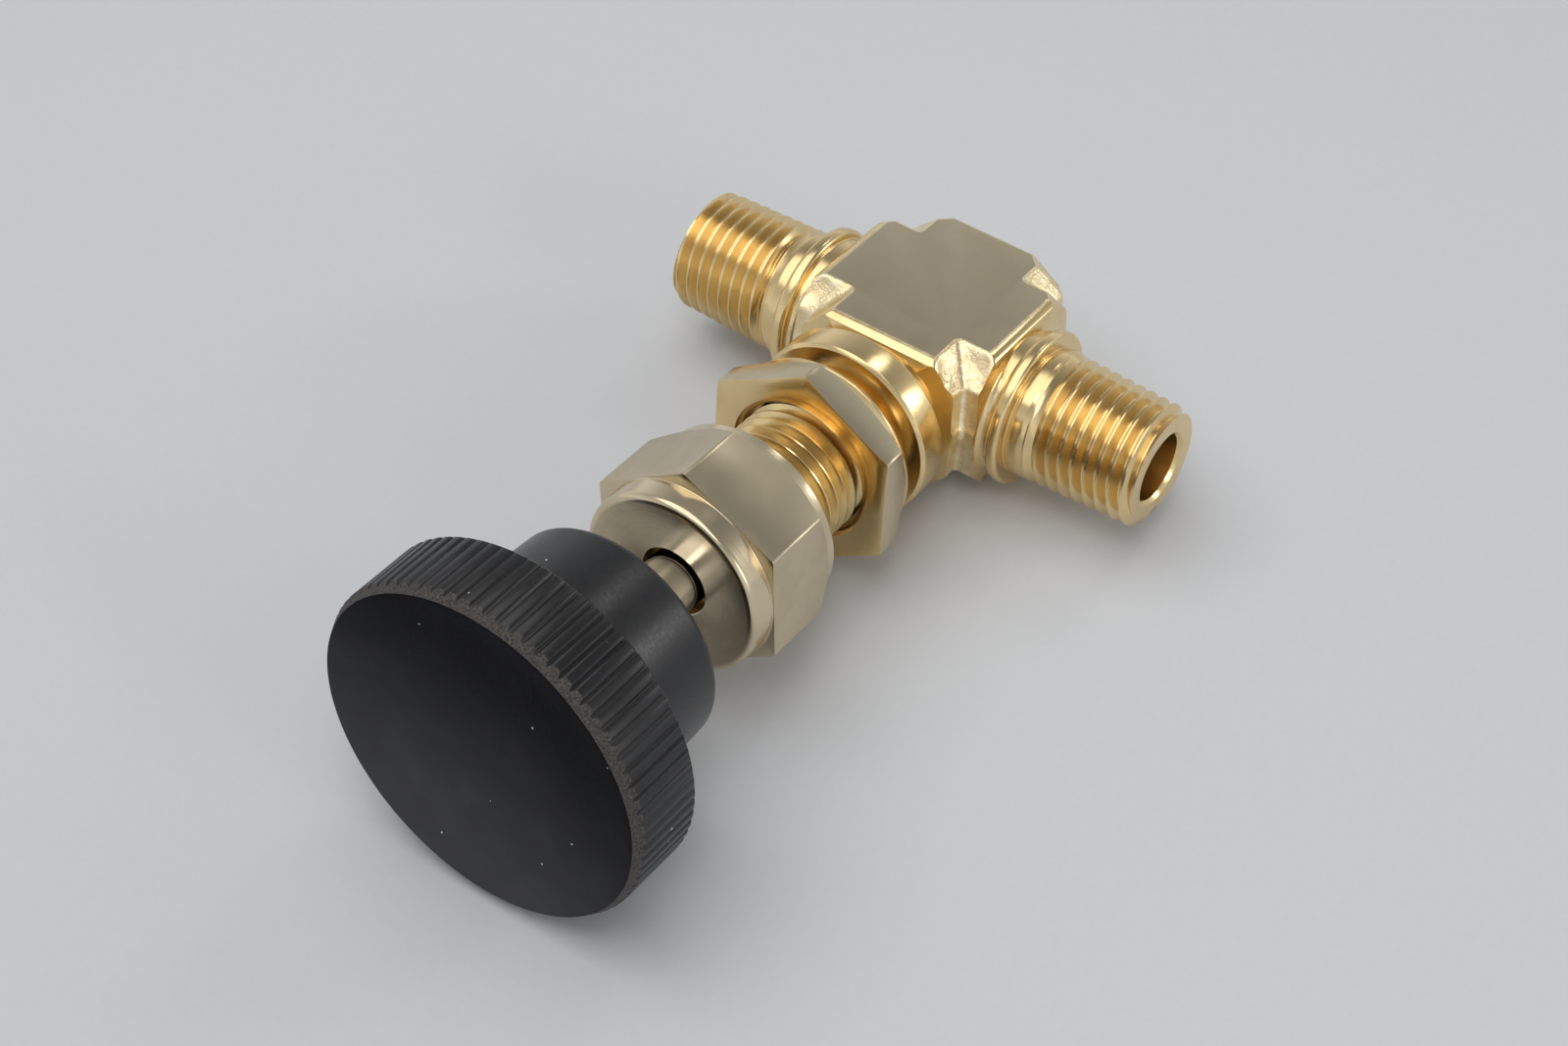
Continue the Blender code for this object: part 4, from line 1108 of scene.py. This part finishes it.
def forged_brass():
    """Raw forged skin: pale, crumpled and pitted."""
    made, tree, shader = new_material("forged_skin_brass", 0.42, 1.0)
    place = place_in_mm(tree, BODY_AXIS)
    mottle = use_group(tree, MOTTLE, place)
    lumps = noise_value(tree, place, 0.9, 4.0, 0.6)
    wander = math_node(tree, "SUBTRACT", noise_value(tree, place, 0.5), 0.5)
    wander = math_node(tree, "ABSOLUTE", wander)
    patches = ramp(tree, noise_value(tree, place, 0.3, 2.0), 0.48, 0.62)
    folds = math_node(tree, "MAXIMUM", ramp(tree, wander, 0.0, 0.035), patches)
    colour = mix_colour(tree, ramp(tree, lumps, 0.35, 0.7), SKIN_HOLLOW, SKIN_RAISED)
    colour = mix_colour(tree, folds, SKIN_FOLD, colour)
    tree.links.new(colour, shader.inputs["Base Color"])
    tree.links.new(ramp(tree, mottle["Grain"], 0.3, 0.7, 0.28, 0.40), shader.inputs["Roughness"])
    rough_skin = bump(tree, mottle["Grain"], 0.35, 0.06)
    rough_skin = bump(tree, folds, 0.25, 0.08, rough_skin)
    tree.links.new(bump(tree, lumps, 0.55, 0.22, rough_skin), shader.inputs["Normal"])
    return made


def polished_steel():
    """The stem: polished, with faint rings and rubbed marks."""
    made, tree, shader = new_material("polished_steel", 0.1, 1.0)
    place = place_in_mm(tree, STEM_AXIS)
    rings = use_group(tree, TURNING_MARKS, place)
    mottle = use_group(tree, MOTTLE, place)
    colour = mix_colour(tree, mottle["Tarnish"], STEEL, STEEL_RUBBED)
    tree.links.new(colour, shader.inputs["Base Color"])
    rough = math_node(tree, "ADD", math_node(tree, "MULTIPLY", rings["Fine"], 0.08), 0.06)
    tree.links.new(rough, shader.inputs["Roughness"])
    tree.links.new(bump(tree, rings["Fine"], 0.08, 0.01), shader.inputs["Normal"])
    return made


def black_oxide():
    """The set screw: blackened steel, worn in places."""
    made, tree, shader = new_material("black_oxide_steel", 0.4, 0.9)
    place = place_in_mm(tree, STEM_AXIS)
    mottle = use_group(tree, MOTTLE, place)
    colour = mix_colour(tree, mottle["Tarnish"], OXIDE, OXIDE_WORN)
    tree.links.new(colour, shader.inputs["Base Color"])
    tree.links.new(ramp(tree, mottle["Grain"], 0.3, 0.7, 0.32, 0.5), shader.inputs["Roughness"])
    return made


def packing_plastic():
    """The packing rings: white, faintly shaded."""
    made, tree, shader = new_material("packing_white_plastic", 0.5, 0.0)
    place = place_in_mm(tree, STEM_AXIS)
    mottle = use_group(tree, MOTTLE, place)
    colour = mix_colour(tree, mottle["Tarnish"], PACKING_WHITE, PACKING_SHADED)
    tree.links.new(colour, shader.inputs["Base Color"])
    tree.links.new(ramp(tree, mottle["Grain"], 0.3, 0.7, 0.42, 0.6), shader.inputs["Roughness"])
    return made


def black_phenolic(name, dished):
    """Satin black moulded plastic with faint haze. On the dish, one side is painted lighter grey as
    painted light and the other darker as painted shade.
    """
    made, tree, shader = new_material(name, 0.4, 0.0)
    shader.inputs["Specular IOR Level"].default_value = DISH_GLOSS if dished else HANDLE_GLOSS
    place = place_in_mm(tree, STEM_AXIS)
    specks = use_group(tree, SPECKS, place)
    mottle = use_group(tree, MOTTLE, place)
    haze = specks["Haze"]
    # On the dish, painted light and shade: the colour runs from a painted-shade black on one side
    # to a painted-light grey on the other.
    if dished:
        parts = add_node(tree, "ShaderNodeSeparateXYZ")
        tree.links.new(place, parts.inputs[0])
        way = [math_node(tree, "MULTIPLY", part, share)
               for part, share in zip(parts.outputs, DISH_PAINTED_LIGHT_SIDE)]
        grey = ramp(tree, math_node(tree, "ADD", *way), *DISH_PAINTED_LIGHT_REACH)
        colour = mix_colour(tree, grey, mix_colour(tree, haze, *DISH_PAINTED_SHADE),
                            mix_colour(tree, haze, *DISH_PAINTED_LIGHT))
    else:
        colour = mix_colour(tree, haze, *HANDLE_BLACK)
    colour = mix_colour(tree, specks["Specks"], colour, DUST)
    tree.links.new(colour, shader.inputs["Base Color"])
    least = DISH_ROUGHNESS if dished else HANDLE_ROUGHNESS
    rough = ramp(tree, mottle["Grain"], 0.3, 0.7, least, least + ROUGHNESS_SPREAD)
    tree.links.new(rough, shader.inputs["Roughness"])
    tree.links.new(bump(tree, mottle["Grain"], 0.08, 0.03), shader.inputs["Normal"])
    return made


def rough_phenolic():
    """The trimmed chamfer, where the filler shows as a grey-brown crumbly grain."""
    made, tree, shader = new_material("rough_phenolic", 0.8, 0.0)
    place = place_in_mm(tree, STEM_AXIS)
    grain = noise_value(tree, place, 5.0, 4.0, 0.7)
    colour = mix_colour(tree, ramp(tree, grain, 0.32, 0.68), CHAMFER_DARK, CHAMFER_FILLER)
    tree.links.new(colour, shader.inputs["Base Color"])
    tree.links.new(bump(tree, grain, 0.9, 0.25), shader.inputs["Normal"])
    return made


# Light, floor and camera

def pale_background():
    """Even dim light, and a backdrop that the camera, metal and gloss show, darker overhead."""
    world = bpy.data.worlds.new("studio")
    world.use_nodes = True
    tree = world.node_tree
    light = tree.nodes["Background"]
    light.inputs["Color"].default_value = (*EVEN_LIGHT, 1.0)
    light.inputs["Strength"].default_value = EVEN_LIGHT_STRENGTH
    direction = add_node(tree, "ShaderNodeTexCoord")
    parts = add_node(tree, "ShaderNodeSeparateXYZ")
    tree.links.new(direction.outputs["Generated"], parts.inputs[0])
    overhead = ramp(tree, parts.outputs["Z"], 0.0, 1.0)
    seen = add_node(tree, "ShaderNodeBackground")
    tree.links.new(mix_colour(tree, overhead, BACKDROP, BACKDROP_OVERHEAD), seen.inputs["Color"])
    path = add_node(tree, "ShaderNodeLightPath")
    shown = math_node(tree, "MAXIMUM", path.outputs["Is Glossy Ray"],
                      path.outputs["Is Transmission Ray"])
    shown = math_node(tree, "MAXIMUM", shown, path.outputs["Is Camera Ray"])
    either = add_node(tree, "ShaderNodeMixShader")
    tree.links.new(shown, either.inputs[0])
    tree.links.new(light.outputs[0], either.inputs[1])
    tree.links.new(seen.outputs[0], either.inputs[2])
    tree.links.new(either.outputs[0], tree.nodes["World Output"].inputs["Surface"])
    bpy.context.scene.world = world


def floor():
    """A round pale floor, tilted so that the valve lies on it as in the picture."""
    bm = bmesh.new()
    bmesh.ops.create_circle(bm, cap_ends=True, segments=FLOOR_STEPS, radius=FLOOR_RADIUS)
    tilt = Matrix.Rotation(math.atan(FLOOR_SLOPE), 4, "X")
    bmesh.ops.transform(bm, matrix=Matrix.Translation((0, 0, FLOOR_HEIGHT)) @ tilt, verts=bm.verts)
    mesh = bpy.data.meshes.new("floor")
    bm.to_mesh(mesh)
    bm.free()
    made = bpy.data.objects.new("floor", mesh)
    bpy.context.scene.collection.objects.link(made)
    material, tree, shader = new_material("pale_floor", 0.85, 0.0)
    place = place_in_mm(tree, STEM_AXIS)
    grain = noise_value(tree, place, 1.5, 4.0, 0.6)
    colour = mix_colour(tree, grain, *FLOOR_TONES)
    tree.links.new(colour, shader.inputs["Base Color"])
    mesh.materials.append(material)


def lamp(name, place, size, power):
    """A round lamp that faces the valve."""
    data = bpy.data.lights.new(name, "AREA")
    data.shape = "DISK"
    data.size = size
    data.energy = power
    data.color = LAMP_COLOUR
    made = bpy.data.objects.new(name, data)
    made.location = place
    aim = LAMP_AIM - Vector(place)
    made.rotation_euler = aim.to_track_quat("-Z", "Y").to_euler()
    bpy.context.scene.collection.objects.link(made)


def camera():
    """The camera, where it was fitted to the picture."""
    data = bpy.data.cameras.new("camera")
    data.lens = CAMERA_LENS
    data.sensor_width = SENSOR_WIDTH
    data.sensor_fit = "HORIZONTAL"
    data.clip_start = CAMERA_NEAR
    made = bpy.data.objects.new("camera", data)
    up = CAMERA_RIGHT.cross(CAMERA_FORWARD)
    turn = Matrix((CAMERA_RIGHT, up, -CAMERA_FORWARD)).transposed().to_4x4()
    made.matrix_world = Matrix.Translation(CAMERA_PLACE) @ turn
    bpy.context.scene.collection.objects.link(made)
    bpy.context.scene.camera = made


def build():
    """The whole picture. The pieces that are hidden inside keep their solids' shapes."""
    camera()
    pale_background()
    floor()
    for settings in LAMPS:
        lamp(*settings)
    bpy.context.scene.view_settings.view_transform = "Standard"

    stem_turned = turned_brass("turned_brass", STEM_AXIS)
    port_turned = turned_brass("turned_brass_ports", RIGHT_PORT_AXIS)
    drawn = drawn_brass()
    steel = polished_steel()
    plastic = packing_plastic()
    body_forging([flat_brass(), forged_brass(), stem_turned, port_turned])
    port("right_port", ALONG_RIGHT_PORT, port_turned)
    port("left_port", ALONG_LEFT_PORT, port_turned)
    neck(stem_turned)
    panel_nut([stem_turned, drawn])
    packing_nut([turned_brass("turned_pale_brass", STEM_AXIS, PALE_BRASS_TONES), drawn])
    stem(steel)
    handle_knob([black_phenolic("black_phenolic", False), rough_phenolic(),
                 black_phenolic("black_phenolic_dish", True)])
    handle_insert(stem_turned)
    handle_set_screw(black_oxide())
    inside = {"packing_gland": stem_turned, "packing_support_washer": stem_turned,
              "packing_ring_lower": plastic, "packing_ring_middle": plastic,
              "packing_ring_upper": plastic, "needle_tip": steel}
    for node, material in inside.items():
        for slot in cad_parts[node].material_slots:
            slot.material = material


build()
